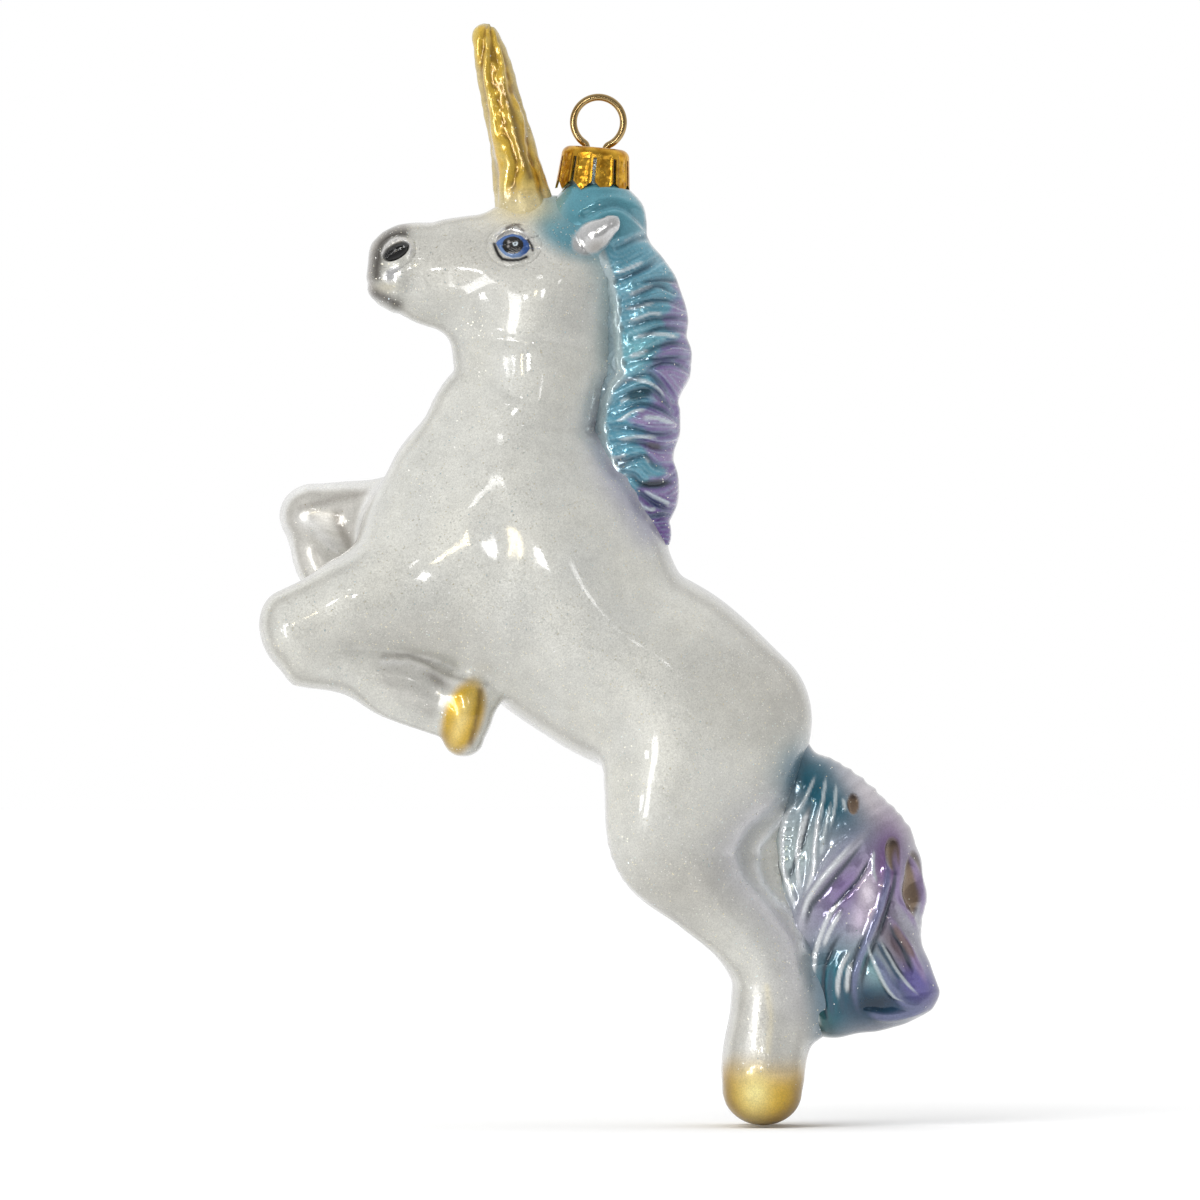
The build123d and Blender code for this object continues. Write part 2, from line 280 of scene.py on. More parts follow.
CORNERS = [(i, j, k) for i in (0, 1) for j in (0, 1) for k in (0, 1)]
EDGES = [(a, b) for a in CORNERS for b in CORNERS
         if sum(b) - sum(a) == 1 and np.abs(np.subtract(a, b)).sum() == 1]


def net(form, box_px, reach, pitch, quick_pitch):
    """Surface net of a form: points, unit normals and quads; its box is as in GRIDS."""
    (left, low), (right, high) = to_mm(box_px)
    lo, hi = (left, -reach, low), (right, reach, high)
    pitch = pitch
    axes = [np.arange(a, b + 2 * pitch, pitch, dtype=np.float32) for a, b in zip(lo, hi)]
    field = form.grid(*axes)
    cells = np.array(field.shape) - 1
    inside = field < 0
    count = sum(inside[a:a + cells[0], b:b + cells[1], c:c + cells[2]].astype(np.int8)
                for a, b, c in CORNERS)
    active = (count > 0) & (count < 8)
    place = np.argwhere(active)
    index = np.full(cells, -1)
    index[active] = np.arange(len(place))
    total, hits = np.zeros((len(place), 3)), np.zeros(len(place))
    for a, b in EDGES:
        fa, fb = field[tuple((place + a).T)], field[tuple((place + b).T)]
        cross = (fa < 0) != (fb < 0)
        t = np.where(cross, fa / np.where(cross, fa - fb, 1), 0)
        total += np.where(cross[:, None], np.array(a) + t[:, None] * np.subtract(b, a), 0)
        hits += cross
    points = np.array(lo) + pitch * (place + total / hits[:, None])
    quads = []
    for axis in range(3):
        u, v = (axis + 1) % 3, (axis + 2) % 3
        first, second = np.moveaxis(inside, axis, 0)[:-1], np.moveaxis(inside, axis, 0)[1:]
        edge = np.argwhere(np.moveaxis(first != second, 0, axis))
        edge = edge[(edge[:, [u, v]] > 0).all(1) & (edge[:, [u, v]] < cells[[u, v]]).all(1)]
        ring = []
        for du, dv in ((1, 1), (0, 1), (0, 0), (1, 0)):
            cell = edge.copy()
            cell[:, u] -= du
            cell[:, v] -= dv
            ring.append(index[tuple(cell.T)])
        ring = np.stack(ring, 1)
        inward = ~inside[tuple(edge.T)]
        ring[inward] = ring[inward][:, ::-1]
        quads.append(ring)
    slope = form.slope(points)
    size = np.maximum((slope ** 2).sum(1, keepdims=True), 0.25)
    for _ in range(2):
        points = points - np.clip(form.at(points)[:, None] * slope / size, -0.6 * pitch, 0.6 * pitch)
    return points, slope / np.sqrt(size), np.concatenate(quads)


def relax(points, quads, rounds, soft=None):
    """Points and unit normals of a mesh, evened out without shrinking and smoothed where soft is above 0."""
    a, b = quads.ravel(), np.roll(quads, -1, 1).ravel()
    a, b = np.concatenate([a, b]), np.concatenate([b, a])
    links = np.bincount(a)[:, None]
    pulls = [0.5, -0.51] * rounds
    if soft is not None:
        pulls += [0.5 * soft[:, None]] * SOFT_ROUNDS
    for pull in pulls:
        mean = np.stack([np.bincount(a, points[b, k]) for k in range(3)], 1) / links
        points = points + pull * (mean - points)
    p = points[quads]
    face = np.cross(p[:, 2] - p[:, 0], p[:, 3] - p[:, 1])
    normals = np.stack([np.bincount(quads.ravel(), np.repeat(face[:, k], 4)) for k in range(3)], 1)
    return points, normals / np.linalg.norm(normals, axis=1, keepdims=True)


def make_mesh(name, points, faces, paint):
    """A smooth mesh piece of the figure; paint holds colours and three finishes per point."""
    colours, metal, rough, flake = paint
    mesh = bpy.data.meshes.new(name)
    mesh.from_pydata((points * MM).tolist(), [], [list(map(int, f)) for f in faces])
    mesh.shade_smooth()
    rgba = np.ones((len(points), 4), np.float32)
    rgba[:, :3] = colours
    mesh.color_attributes.new("paint", "FLOAT_COLOR", "POINT").data.foreach_set("color", rgba.ravel())
    for key, value in (("metal", metal), ("rough", rough), ("flake", flake)):
        mesh.attributes.new(key, "FLOAT", "POINT").data.foreach_set("value", np.asarray(value, np.float32))
    obj = bpy.data.objects.new(name, mesh)
    bpy.context.scene.collection.objects.link(obj)
    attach(obj, "figure")
    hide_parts("glass_figure")
    return obj


class Paint:
    """Colour, metal, roughness and glitter per point, laid on coat by coat at the picture places xy."""

    def __init__(self, xy, tone, metal, rough, flake=1.0):
        self.xy = xy
        self.colour = np.tile(srgb(*tone), (len(xy), 1))
        self.metal, self.rough, self.flake = (np.full(len(xy), v) for v in (metal, rough, flake))

    def coat(self, weight, tone, metal=None, rough=None, flake=None):
        w = np.clip(weight, 0, 1)
        self.colour += w[:, None] * (srgb(*tone) - self.colour)
        for values, new in ((self.metal, metal), (self.rough, rough), (self.flake, flake)):
            if new is not None:
                values += w * (new - values)

    def spot(self, weight, place, tone, *finish):
        """A soft oval."""
        self.coat(weight * bell(oval(self.xy, *place)), tone, *finish)

    def stroke(self, weight, line, width, tone, *finish):
        """A soft line."""
        self.coat(weight * bell(to_line(self.xy, line)[0], width), tone, *finish)

    def all(self):
        return np.clip(self.colour, 0, 1), self.metal, self.rough, self.flake


# Limbs, with stations as in the solid model
TRUNK_PX = [(720, 733, 99), (665, 685, 102), (614, 655, 105), (572, 613, 117), (540, 560, 122),
            (517, 505, 122), (514, 433, 90), (529, 409, 73), (532, 388, 74), (535, 355, 82), (549, 315, 70),
            (566, 275, 56), (580, 240, 44)]
TRUNK_DEPTHS = 14.5 * np.array([0.9, 0.98, 1, 0.99, 0.95, 0.86, 0.7, 0.67, 0.64, 0.6, 0.57, 0.52, 0.46])
HEAD_PX = [(588, 252, 38), (552, 268, 60), (512, 277, 67), (472, 275, 60), (437, 274, 54), (412, 269, 47),
           (396, 269, 42), (383, 271, 33)]
HEAD_DEPTHS = 7 * np.array([0.72, 0.94, 1, 0.9, 0.76, 0.68, 0.68, 0.56])
POLL_PX = [(588, 264, 42), (592, 236, 46), (595, 212, 45), (596, 194, 35)]
POLL_DEPTHS = 6.75 * np.array([0.86, 0.96, 0.92, 0.76])
MANE_PX = [(605, 222, 38), (612, 247, 34), (622, 263, 34), (634, 283, 39), (640, 300, 42), (643, 318, 45),
           (644, 340, 43), (646, 362, 46), (640, 384, 42), (634, 398, 41), (636, 420, 45), (634, 445, 42),
           (637, 468, 37), (645, 490, 36), (651, 510, 27), (656, 525, 14)]
MANE_DEPTHS = 6.75 * np.array([0.84, 0.88, 0.9, 0.94, 0.97, 0.95, 0.93, 1, 0.92, 0.88, 0.95, 0.92, 0.86, 0.8,
                               0.68, 0.5])
TAIL_PX = [(772, 742, 32), (795, 776, 34), (822, 806, 52), (838, 850, 77), (850, 902, 77), (861, 950, 62),
           (874, 984, 62), (878, 1002, 63)]
TAIL_DEPTHS = 7.5 * np.array([0.6, 0.75, 0.88, 1, 0.98, 0.9, 0.8, 0.62])
SKIRT_PX, SKIRT_DEPTHS = [(824, 965, 24), (832, 1018, 30)], [6.2, 5.2]
WEB_PX = [(742, 804, 46), (752, 850, 60), (772, 905, 52), (790, 958, 42), (801, 1002, 36)]
WEB_DEPTHS = 4.1 * np.array([1.1, 1, 1, 1.05, 1])
HIND_PX = [(700, 742, 95), (678, 798, 77), (670, 848, 58), (705, 892, 43), (745, 933, 35), (767, 972, 34),
           (766, 1010, 35), (764, 1046, 40), (763, 1070, 41.5), (762, 1090, 39.5)]
HIND_DEPTHS = 6.5 * np.array([1, 1.02, 0.98, 0.9, 0.82, 0.78, 0.76, 0.8, 0.86, 0.8])
HIND_SIDES = 5.6 * np.array([1.2, 1.14, 1.05, 0.95, 0.88, 0.84, 0.82, 0.84, 0.88, 0.88])
FORE_PX = {
    -1: ([(505, 612, 76), (450, 606, 60), (400, 607, 50), (345, 613, 46), (299, 634, 47)],
         [(306, 656, 31), (352, 669, 26), (390, 682, 34), (421, 693, 35), (444, 704, 32)],
         [(462, 694, 28), (466, 714, 28), (464, 736, 21)]),
    1: ([(470, 527, 62), (412, 526, 50), (352, 520, 40), (314, 516, 33)],
        [(312, 538, 25), (322, 568, 26), (350, 602, 23), (380, 626, 19)],
        [(388, 616, 22), (397, 638, 24), (401, 660, 19)]),
}
ARM_DEPTHS = 4.8 * np.array([1.3, 1.15, 1, 0.92, 0.88])
ARM_SIDES = 8.2 * np.array([0.72, 0.88, 0.98, 1.04, 1.06])
CANNON_DEPTHS = 4.8 * np.array([0.66, 0.7, 0.7, 0.64, 0.56])
CANNON_SIDES = 8.2 * np.array([1.06, 1.06, 1.05, 1.04, 1.03])
FORE_HOOF_DEPTHS, FORE_HOOF_SIDE = 4.8 * np.array([0.76, 0.82, 0.7]), 8.45
EAR_PX = [(580, 246, 12), (593, 239, 17), (609, 227, 10)]
EAR_DEPTHS, EAR_SIDES = [1.5, 1.7, 1.0], 5.6 * np.array([0.95, 1.14, 1.28])
BREAST_PX, BREAST_DEPTHS = [(470, 500, 70), (420, 470, 46)], [10, 8]
SHOULDER_PX, SHOULDER_DEPTHS = [(470, 548, 64), (410, 564, 46), (356, 592, 33)], [8, 6.5, 5]
SHOULDER_SIDES = np.array([3.0, 4.5, 6.0])
CHEST_PX, CHEST_DEPTHS = [(440, 535, 52), (396, 531, 36)], [9, 7]
LIP_PX, LIP_DEPTHS = [(396, 288, 22), (381, 283, 16)], [4.4, 3.4]
HOOF_WEB_PX, HOOF_WEB_DEPTHS = [(470, 690, 18), (492, 700, 13)], [3.0, 2.6]
HORN_PX = [(527, 218, 34), (521, 190, 27), (512, 145, 22), (502, 104, 19), (493, 64, 17), (487, 43, 14.5)]
HORN_DEPTHS = [4.7, 3.75, 3.05, 2.6, 2.2, 1.8]
HORN_FOOT_PX, HORN_FOOT_DEPTHS = [(531, 232, 46), (525, 207, 30)], [4.9, 3.6]
HOOF_WEB_SIDE = -6.6

figure_chains = [
    Chain(TRUNK_PX, TRUNK_DEPTHS, (86, 24), per_gap=18),
    Chain(HEAD_PX, HEAD_DEPTHS, (14, 14), blend=4, per_gap=10),
    Chain(BREAST_PX, BREAST_DEPTHS, (30, 28), blend=3),
    Chain(CHEST_PX, CHEST_DEPTHS, (30, 34), blend=5),
    Chain(LIP_PX, LIP_DEPTHS, (10, 12), blend=2),
    Chain(HOOF_WEB_PX, HOOF_WEB_DEPTHS, (8, 8), HOOF_WEB_SIDE, blend=1.5),
]
for side, (arm, cannon, hoof) in FORE_PX.items():
    figure_chains += [
        Chain(HIND_PX, HIND_DEPTHS, (60, 34), side * HIND_SIDES, blend=3, per_gap=10),
        Chain(arm, ARM_DEPTHS[:len(arm)], (40, 36), side * ARM_SIDES[:len(arm)], blend=4),
        Chain(cannon, CANNON_DEPTHS[:len(cannon)], (20, 22), side * CANNON_SIDES[:len(cannon)], blend=1.0),
        Chain(hoof, FORE_HOOF_DEPTHS, (16, 20), side * FORE_HOOF_SIDE, blend=1.5),
        Chain(EAR_PX, EAR_DEPTHS, (8, 13), side * EAR_SIDES, blend=0.6),
    ]
figure_chains.append(Chain(SHOULDER_PX, SHOULDER_DEPTHS, (30, 20), -SHOULDER_SIDES, blend=5))
# The web behind the hind legs, and feet on which horn, mane and tail grow out of the glass
figure_chains += [
    Chain(WEB_PX, WEB_DEPTHS, (40, 34), blend=7),
    Chain(HORN_FOOT_PX, HORN_FOOT_DEPTHS, (10, 8), blend=2.5),
    Chain(np.subtract(MANE_PX, (0, 0, 7)), MANE_DEPTHS - 1.0, (14, 16), blend=2, per_gap=3),
    Chain(np.subtract(POLL_PX, (0, 0, 6)), POLL_DEPTHS - 0.9, (12, 8), blend=2),
    Chain(np.subtract(TAIL_PX, (0, 0, 14)), TAIL_DEPTHS - 2.2, (8, 8), blend=2, per_gap=3),
    Chain(np.subtract(SKIRT_PX, (0, 0, 6)), np.subtract(SKIRT_DEPTHS, 1.0), (8, 12), blend=2),
]
figure_form = Form(*figure_chains)
mane_form = Form(Chain(MANE_PX, MANE_DEPTHS, (20, 26)), Chain(POLL_PX, POLL_DEPTHS, (20, 13), blend=3))
tail_form = Form(Chain(TAIL_PX, TAIL_DEPTHS, (20, 30)), Chain(SKIRT_PX, SKIRT_DEPTHS, (10, 20), blend=2))
horn_form = Form(Chain(HORN_PX, HORN_DEPTHS, (10, 19)))

# Grid of each piece: two corners in the picture, half depth, pitch and quick pitch in millimetres
GRIDS = {
    "body": ([(250, 1136), (948, 176)], 16, 0.49, 0.9), "mane": ([(540, 545), (702, 170)], 8, 0.26, 0.6),
    "tail": ([(730, 1060), (958, 690)], 9, 0.24, 0.6), "horn": ([(470, 236), (575, 18)], 6, 0.28, 0.5),
}

# Lines of the relief
JAW_PX = [(450, 342), (500, 341), (560, 345), (602, 353)]
MOUTH_PX = [(366, 284), (385, 289), (404, 291), (428, 288)]
MANE_EDGE_PX = [(600, 250), (610, 275), (615, 300), (618, 330), (620, 360), (622, 375), (612, 388),
                (605, 405), (603, 425), (605, 445), (612, 465), (622, 485), (635, 505), (650, 528)]
TAIL_EDGE_PX = [(790, 806), (772, 828), (758, 846), (756, 866), (762, 884), (776, 902), (791, 914),
                (798, 930), (801, 950)]
VALLEY_PX = [(806, 765), (780, 795), (745, 822), (729, 850), (738, 878), (762, 906), (786, 940), (800, 1000)]
# Lines of the tail's locks, by kind of stroke
TAIL_LOCKS_PX = {
    "broad": [
        [(876, 818), (858, 840), (836, 864), (818, 886), (807, 908), (803, 935), (803, 960)],
    ],
    "blue": [
        [(884, 838), (886, 868), (881, 900), (868, 934), (858, 960), (853, 985), (857, 1008), (866, 1022)],
        [(868, 944), (880, 966), (892, 988), (906, 1004), (930, 1008)],
        [(862, 1012), (884, 1016), (908, 1012), (930, 1006)],
    ],
    "lilac": [
        [(898, 838), (895, 868), (898, 896), (911, 918), (920, 938)],
        [(884, 908), (900, 934), (916, 962), (930, 990)],
        [(905, 846), (920, 880), (922, 925)],
    ],
    # Dark lines in the grooves: painted shade
    "dark": [
        [(868, 834), (846, 862), (823, 890), (811, 906), (807, 936)],
        [(846, 924), (829, 950), (822, 976), (823, 1002), (829, 1032)],
        [(874, 850), (858, 878), (838, 900), (822, 922)],
        [(868, 925), (858, 945), (850, 970), (849, 1004)],
        [(812, 795), (806, 820), (800, 846), (790, 872), (788, 890)],
        [(878, 935), (892, 958), (908, 984)],
        [(774, 842), (776, 866), (784, 888)],
        [(892, 846), (893, 880), (888, 906), (876, 938), (866, 962), (861, 985), (867, 1006)],
        [(886, 918), (902, 946), (916, 976)],
    ],
    "brown": [
        [(890, 918), (905, 944), (916, 962)],
    ],
    "teal": [
        [(874, 934), (888, 960), (905, 986)],
        [(832, 960), (829, 990), (833, 1022)],
        [(843, 965), (841, 990), (844, 1018)],
    ],
    # White lines on the raised ridges: painted highlight
    "white": [
        TAIL_EDGE_PX,
        [(803, 792), (790, 815), (784, 838), (783, 862), (788, 884), (795, 902), (799, 920)],
        [(812, 800), (802, 826), (797, 850), (797, 872), (801, 896)],
        [(820, 800), (817, 820), (814, 848), (813, 870), (806, 890), (801, 900)],
        [(856, 838), (838, 858), (820, 880), (808, 900), (804, 925)],
        [(850, 890), (830, 912), (820, 936), (815, 960), (811, 985), (817, 1008)],
        [(843, 905), (829, 930), (822, 950)],
        [(852, 946), (842, 962), (837, 982), (838, 1002)],
        [(851, 958), (847, 975), (846, 995)],
        [(813, 962), (810, 985), (815, 1010), (822, 1030)],
    ],
    # Thin light lines on raised strands: painted highlight
    "thin": [
        [(832, 796), (826, 820), (822, 842), (818, 862)],
        [(842, 796), (845, 812)],
        [(816, 772), (806, 796), (796, 818)],
        [(826, 772), (822, 800), (818, 826)],
        [(836, 778), (834, 806), (828, 832)],
        [(878, 934), (890, 958), (906, 982), (922, 998)],
        [(864, 934), (873, 962), (888, 990), (908, 1004)],
        [(874, 846), (872, 866), (876, 884)],
    ],
}
# Kind of stroke: half widths of its relief and of its colour in pixels, height, colour, weight of the colour
# The white and thin strokes are painted highlights and the dark ones painted shade
TAIL_STROKES = {
    "broad": (8.0, 6.0, 0.7, (188, 188, 200), 0.75), "blue": (6.0, 4.5, 0.7, (118, 124, 164), 0.8),
    "lilac": (5.0, 3.6, 0.5, (156, 136, 180), 0.8), "dark": (3.8, 2.8, -0.36, (24, 44, 62), 0.85),
    "brown": (3.0, 3.0, -0.1, (122, 96, 86), 0.8), "teal": (3.0, 3.2, -0.1, (46, 84, 108), 0.8),
    "white": (4.6, 2.6, 0.5, (234, 238, 241), 0.85), "thin": (3.0, 1.8, 0.3, (220, 230, 234), 0.75),
}
MANE_GROOVES_PX = [
    [(585, 217), (605, 208), (620, 207), (635, 216), (650, 230)],
    [(618, 248), (632, 241), (645, 237), (655, 236)],
    [(610, 282), (628, 277), (645, 269), (660, 259)],
    [(638, 285), (655, 281), (668, 280), (684, 284)],
    [(622, 301), (634, 296), (645, 291), (660, 286), (676, 293)],
    [(617, 312), (635, 307), (650, 302), (668, 301), (684, 307)],
    [(622, 329), (640, 323), (655, 319), (675, 318), (692, 320)],
    [(634, 339), (648, 334), (660, 329), (676, 329), (692, 332)],
    [(638, 357), (652, 350), (665, 345), (676, 343), (690, 347)],
    [(624, 364), (640, 360), (655, 360), (672, 358), (692, 357)],
    [(640, 373), (655, 366), (668, 363), (680, 366), (692, 372)],
    [(608, 391), (622, 384), (636, 378), (648, 374), (656, 379), (665, 389), (674, 402)],
    [(612, 403), (628, 394), (640, 390), (652, 391), (662, 398), (674, 412)],
    [(614, 415), (630, 408), (642, 404), (655, 407), (668, 413), (680, 422)],
    [(608, 430), (625, 428), (638, 430), (652, 434), (665, 434), (678, 431)],
    [(612, 447), (628, 442), (642, 443), (655, 447), (666, 448), (676, 445)],
    [(606, 464), (622, 462), (636, 458), (646, 457), (656, 466), (668, 468)],
    [(617, 478), (632, 476), (640, 483), (652, 486), (664, 484), (676, 474)],
    [(626, 494), (640, 494), (652, 502), (664, 508), (676, 510)],
    [(640, 512), (650, 517), (662, 515), (676, 516)],
]
MANE_CRESTS_PX = [
    [(588, 206), (604, 202), (618, 201), (632, 208)],
    [(620, 244), (628, 240), (638, 234)],
    [(612, 276), (625, 271), (635, 267), (647, 261)],
    [(624, 298), (636, 293), (645, 289), (658, 285)],
    [(620, 311), (636, 308), (648, 305), (660, 302)],
    [(624, 324), (640, 319), (650, 315), (668, 315)],
    [(626, 342), (640, 337), (652, 335), (668, 336), (684, 341)],
    [(626, 359), (640, 354), (652, 349)],
    [(614, 387), (628, 380), (642, 381), (652, 385), (662, 394), (670, 405)],
    [(618, 403), (632, 397)],
    [(612, 423), (622, 420), (634, 412), (650, 411)],
    [(636, 420), (652, 418), (668, 423), (678, 424)],
    [(612, 438), (622, 440), (634, 438), (646, 437), (664, 438)],
    [(604, 459), (618, 458), (630, 453)],
    [(644, 455), (650, 464)],
    [(640, 488), (652, 496), (664, 502), (673, 508)],
    [(618, 482), (628, 473)],
    [(634, 498), (644, 508), (660, 509)],
]
# Where the mane turns violet: places as (y, x)
VIOLET_FROM_PX = [(262, 700), (285, 672), (300, 678), (320, 660), (335, 676), (348, 662), (365, 648),
                  (380, 656), (400, 650), (420, 632), (432, 640), (446, 638), (456, 648), (470, 666),
                  (486, 644), (497, 630), (510, 610), (545, 600)]
FOLD_PX = [(384, 656), (411, 655), (428, 662), (446, 673), (487, 684)]
UPPER_LID_PX = [(496, 244), (498, 241.5), (505, 237), (513, 235), (521, 237), (526.5, 241), (529.5, 246),
                (530.5, 250)]
LOWER_LID_PX = [(496, 244), (498, 248), (501, 252.5), (506, 257), (513, 259.5), (521, 258.5), (527, 255),
                (530.5, 250)]
LASH_PX = [(494.5, 245), (496.5, 251), (499.5, 257), (503, 260.8), (511, 262), (520, 261.6), (527, 259)]
NOSTRIL_RIM_PX = [(384, 254.5), (387, 248), (392, 243), (398, 240.3), (405, 241), (410, 245.5), (411.5, 251),
                  (410, 255.5)]
NOSTRIL_FOLD_PX = [(388, 252.5), (393, 247), (401, 243)]
LID_EDGE_PX = np.add(UPPER_LID_PX[1:], (0, -4.2))
CHEEK_FOLD_PX = np.add(LOWER_LID_PX, (-1, 6))
# Bare places in the tail's paint: centre, half axes, tilt in degrees
HOLLOWS_PX = [((853, 803), (6, 11), 0), ((892, 853), (8, 17), 0), ((912, 884), (9, 34), -3)]
# Swellings of the figure: height in millimetres, centre, half axes, tilt in degrees
SWELLINGS_PX = {
    "cheek": (0.55, (548, 300), (50, 44), 0),
    "thigh": (1.6, (650, 815), (50, 95), -15),
    "flank": (-0.35, (620, 682), (34, 30), 0),
    "brow": (0.3, (512, 226), (22, 7), 6),
}
# Lines pressed in or raised: line, height in millimetres, half width in pixels, shares where it fades
PRESSED_LINES_PX = [
    (JAW_PX, -0.32, 6, 0.12, 0.8), (MOUTH_PX, -0.22, 3.6, None, 0.6), (MANE_EDGE_PX, -0.1, 7, None, None),
    (VALLEY_PX, 0.45, 9, 0.2, 0.8), (TAIL_EDGE_PX, 0.25, 5, None, None),
]
EYE_PX, EYE_RADII_PX = (514.5, 247.0), (18.0, 12.5)
NOSTRIL_PX, NOSTRIL_RADII_PX, NOSTRIL_TILT = (396.8, 252.4), (14.8, 7.6), 31.0
SOFT_PX, SOFT_ROUNDS = [((722, 852), (46, 40)), ((405, 545), (34, 34))], 60
PATCHES = {"eye": (EYE_PX, (29, 23), 0), "nostril": (NOSTRIL_PX, (22, 17), NOSTRIL_TILT)}
PATCH_RECESS, PATCH_BACK = 0.8, 2.2
FACE_SIDES, FACE_HALVINGS = (1.0, 11.0), 18


def figure_relief(xy, normals):
    """Height in millimetres of the figure's moulded details."""
    facing = step(np.abs(normals[:, 1]), 0.25, 0.7)
    h = facing * sum(height * bell(oval(xy, *place)) for height, *place in SWELLINGS_PX.values())
    for line, height, width, start, end in PRESSED_LINES_PX:
        d, t = to_line(xy, line)
        h += height * bell(d, width) * fade(t, start, end)
    d, t = to_line(xy, FOLD_PX)
    return h - 0.22 * bell(d, 4) * fade(t, 0.3) * facing


# Ovals of paint, among them painted highlights on lip, hooves and eye and painted shade on the ear: centre,
# half axes, tilt in degrees
NEAR_CANNON_PX = (418, 682), (50, 30), -20
CALM_CHEST_PX = (400, 525), (44, 60)
POLL_SPRAY_PX = (588, 213), (54, 46)
HORN_SPRAY_PX = (520, 206), (32, 18)
LIP_GOLD_PX = (387, 288), (10, 5)
LIP_HIGHLIGHT_PX = (393, 275), (11, 7), 38
NEAR_HOOF_PX = (464, 716), (40, 21), 72
FAR_HOOF_PX = (399, 643), (36, 19), 72
# Painted highlights on the hooves
NEAR_HOOF_HIGHLIGHT_PX = (463, 718), (30, 7), 70
HIND_HOOF_HIGHLIGHT_PX = (754, 1088), (15, 26)
EAR_SILVER_PX = (597, 236), (27, 15), 32
EAR_SHADE_PX = (596, 248), (12, 8), 30
PUPIL_PX = (513.5, 247.3), (10.6, 8.6)
CATCHLIGHT_PX = (516, 246), (2.7, 2.7)
CATCHLIGHT_CORE_PX = (516, 246), (1.2, 1.2)
GLINTS_PX = [((509.3, 244), (1.2, 1.2)), ((509, 248.7), (1.2, 1.2))]
# Painted shade: greyer paint where the head, rump, hock and forearm look darker: weight, centre, half axes
SHADE_PATCHES_PX = [
    (0.6, (470, 252), (90, 46)), (0.1, (560, 318), (60, 40)), (0.7, (800, 690), (60, 90)),
    (0.75, (692, 884), (60, 44)), (0.6, (420, 636), (90, 30)), (0.35, (745, 670), (80, 60)),
]
# Spots of painted shade under the fold: weight, oval, colour
FOLD_SHADE_SPOTS_PX = [
    (0.6, ((438, 679), (13, 5), -36), (110, 101, 88)), (0.3, ((431, 711), (12, 6), -20), (122, 114, 102)),
]
# Strokes of paint: weight, line, half width in pixels, colour, metal, roughness, glitter
# Painted reflections on the far leg's bare silver: a dark stripe, a grey band and a light streak
FAR_LEG_REFLECTIONS_PX = [
    (0.7, [(336, 516), (343, 532), (350, 550), (357, 566)], 6, (118, 109, 96)),
    (0.5, [(300, 508), (330, 500), (366, 492)], 4, (158, 152, 143)),
    (0.8, [(303, 519), (318, 532), (333, 550)], 7, (246, 245, 242)),
]
# Along the fold: a dark line of painted shade, and a light line of painted highlight below it
FOLD_SHADE_AND_HIGHLIGHT_PX = [(0.4, FOLD_PX, 2.6, (106, 98, 86)), (0.7, np.add(FOLD_PX, (0, 6)), 3, (240, 239, 236))]
MUZZLE_STROKES_PX = [
    # First stroke: a grey band painted along the muzzle's outline, a painted reflection of the clear glass
    # rim
    (0.8, [(404, 226), (386, 233), (376, 247), (370, 264), (368, 281), (374, 294)], 6, (172, 166, 159)),
    (0.95, [(404, 234), (391, 236), (383, 244), (379, 256), (377, 268), (377, 277)], 6.5, (74, 69, 63)),
    (0.9, [(377, 294), (387, 299), (397, 305)], 6, (86, 81, 76)),
]
# Painted highlights: streaks down the hind cannon
HIND_CANNON_HIGHLIGHTS_PX = [
    (0.7, [(754, 985), (750, 1025), (745, 1062)], 4, (248, 247, 242)),
    (0.6, [(766, 985), (770, 1015), (767, 1050)], 3, (250, 240, 208)),
]
# Painted shade along the near hoof's right side
NEAR_HOOF_SHADE_PX = [(481, 690), (478, 715), (471, 742)]
EYE_STROKES_PX = [
    (0.35, np.add(LOWER_LID_PX, (-1, 7)), 2.4, (172, 169, 160)),
    (0.95, LID_EDGE_PX, 2.6, (242, 242, 240), 0.6, 0.12),
    (0.6, np.add(LID_EDGE_PX, (0, 2.4)), 1.1, (140, 132, 124)),
    (0.9, [(508, 230.5), (515, 227.5), (520.5, 225)], 2.6, (98, 88, 78)),
    (0.8, [(519, 229), (524, 233)], 1.4, (110, 100, 92)),
    # Painted highlight along the lower lid
    (0.8, [(497.5, 244), (500, 251), (504, 257.5), (512, 260.5)], 1.4, (228, 225, 216)),
    (1.3, LASH_PX, 1.7, (20, 18, 17), 0.0, 0.3, 0.0),
    (1.1, [(528.5, 242.5), (532, 247.5), (533.2, 252)], 1.5, (34, 31, 28), 0.0, 0.3, 0.0),
]
NOSTRIL_STROKES_PX = [
    (0.95, NOSTRIL_RIM_PX, 1.7, (246, 244, 241), 0.5, 0.12),
    (0.8, NOSTRIL_FOLD_PX, 1.4, (190, 181, 172), 0.4, 0.15),
]
HORN_FOOT_TONE = (228, 212, 162)


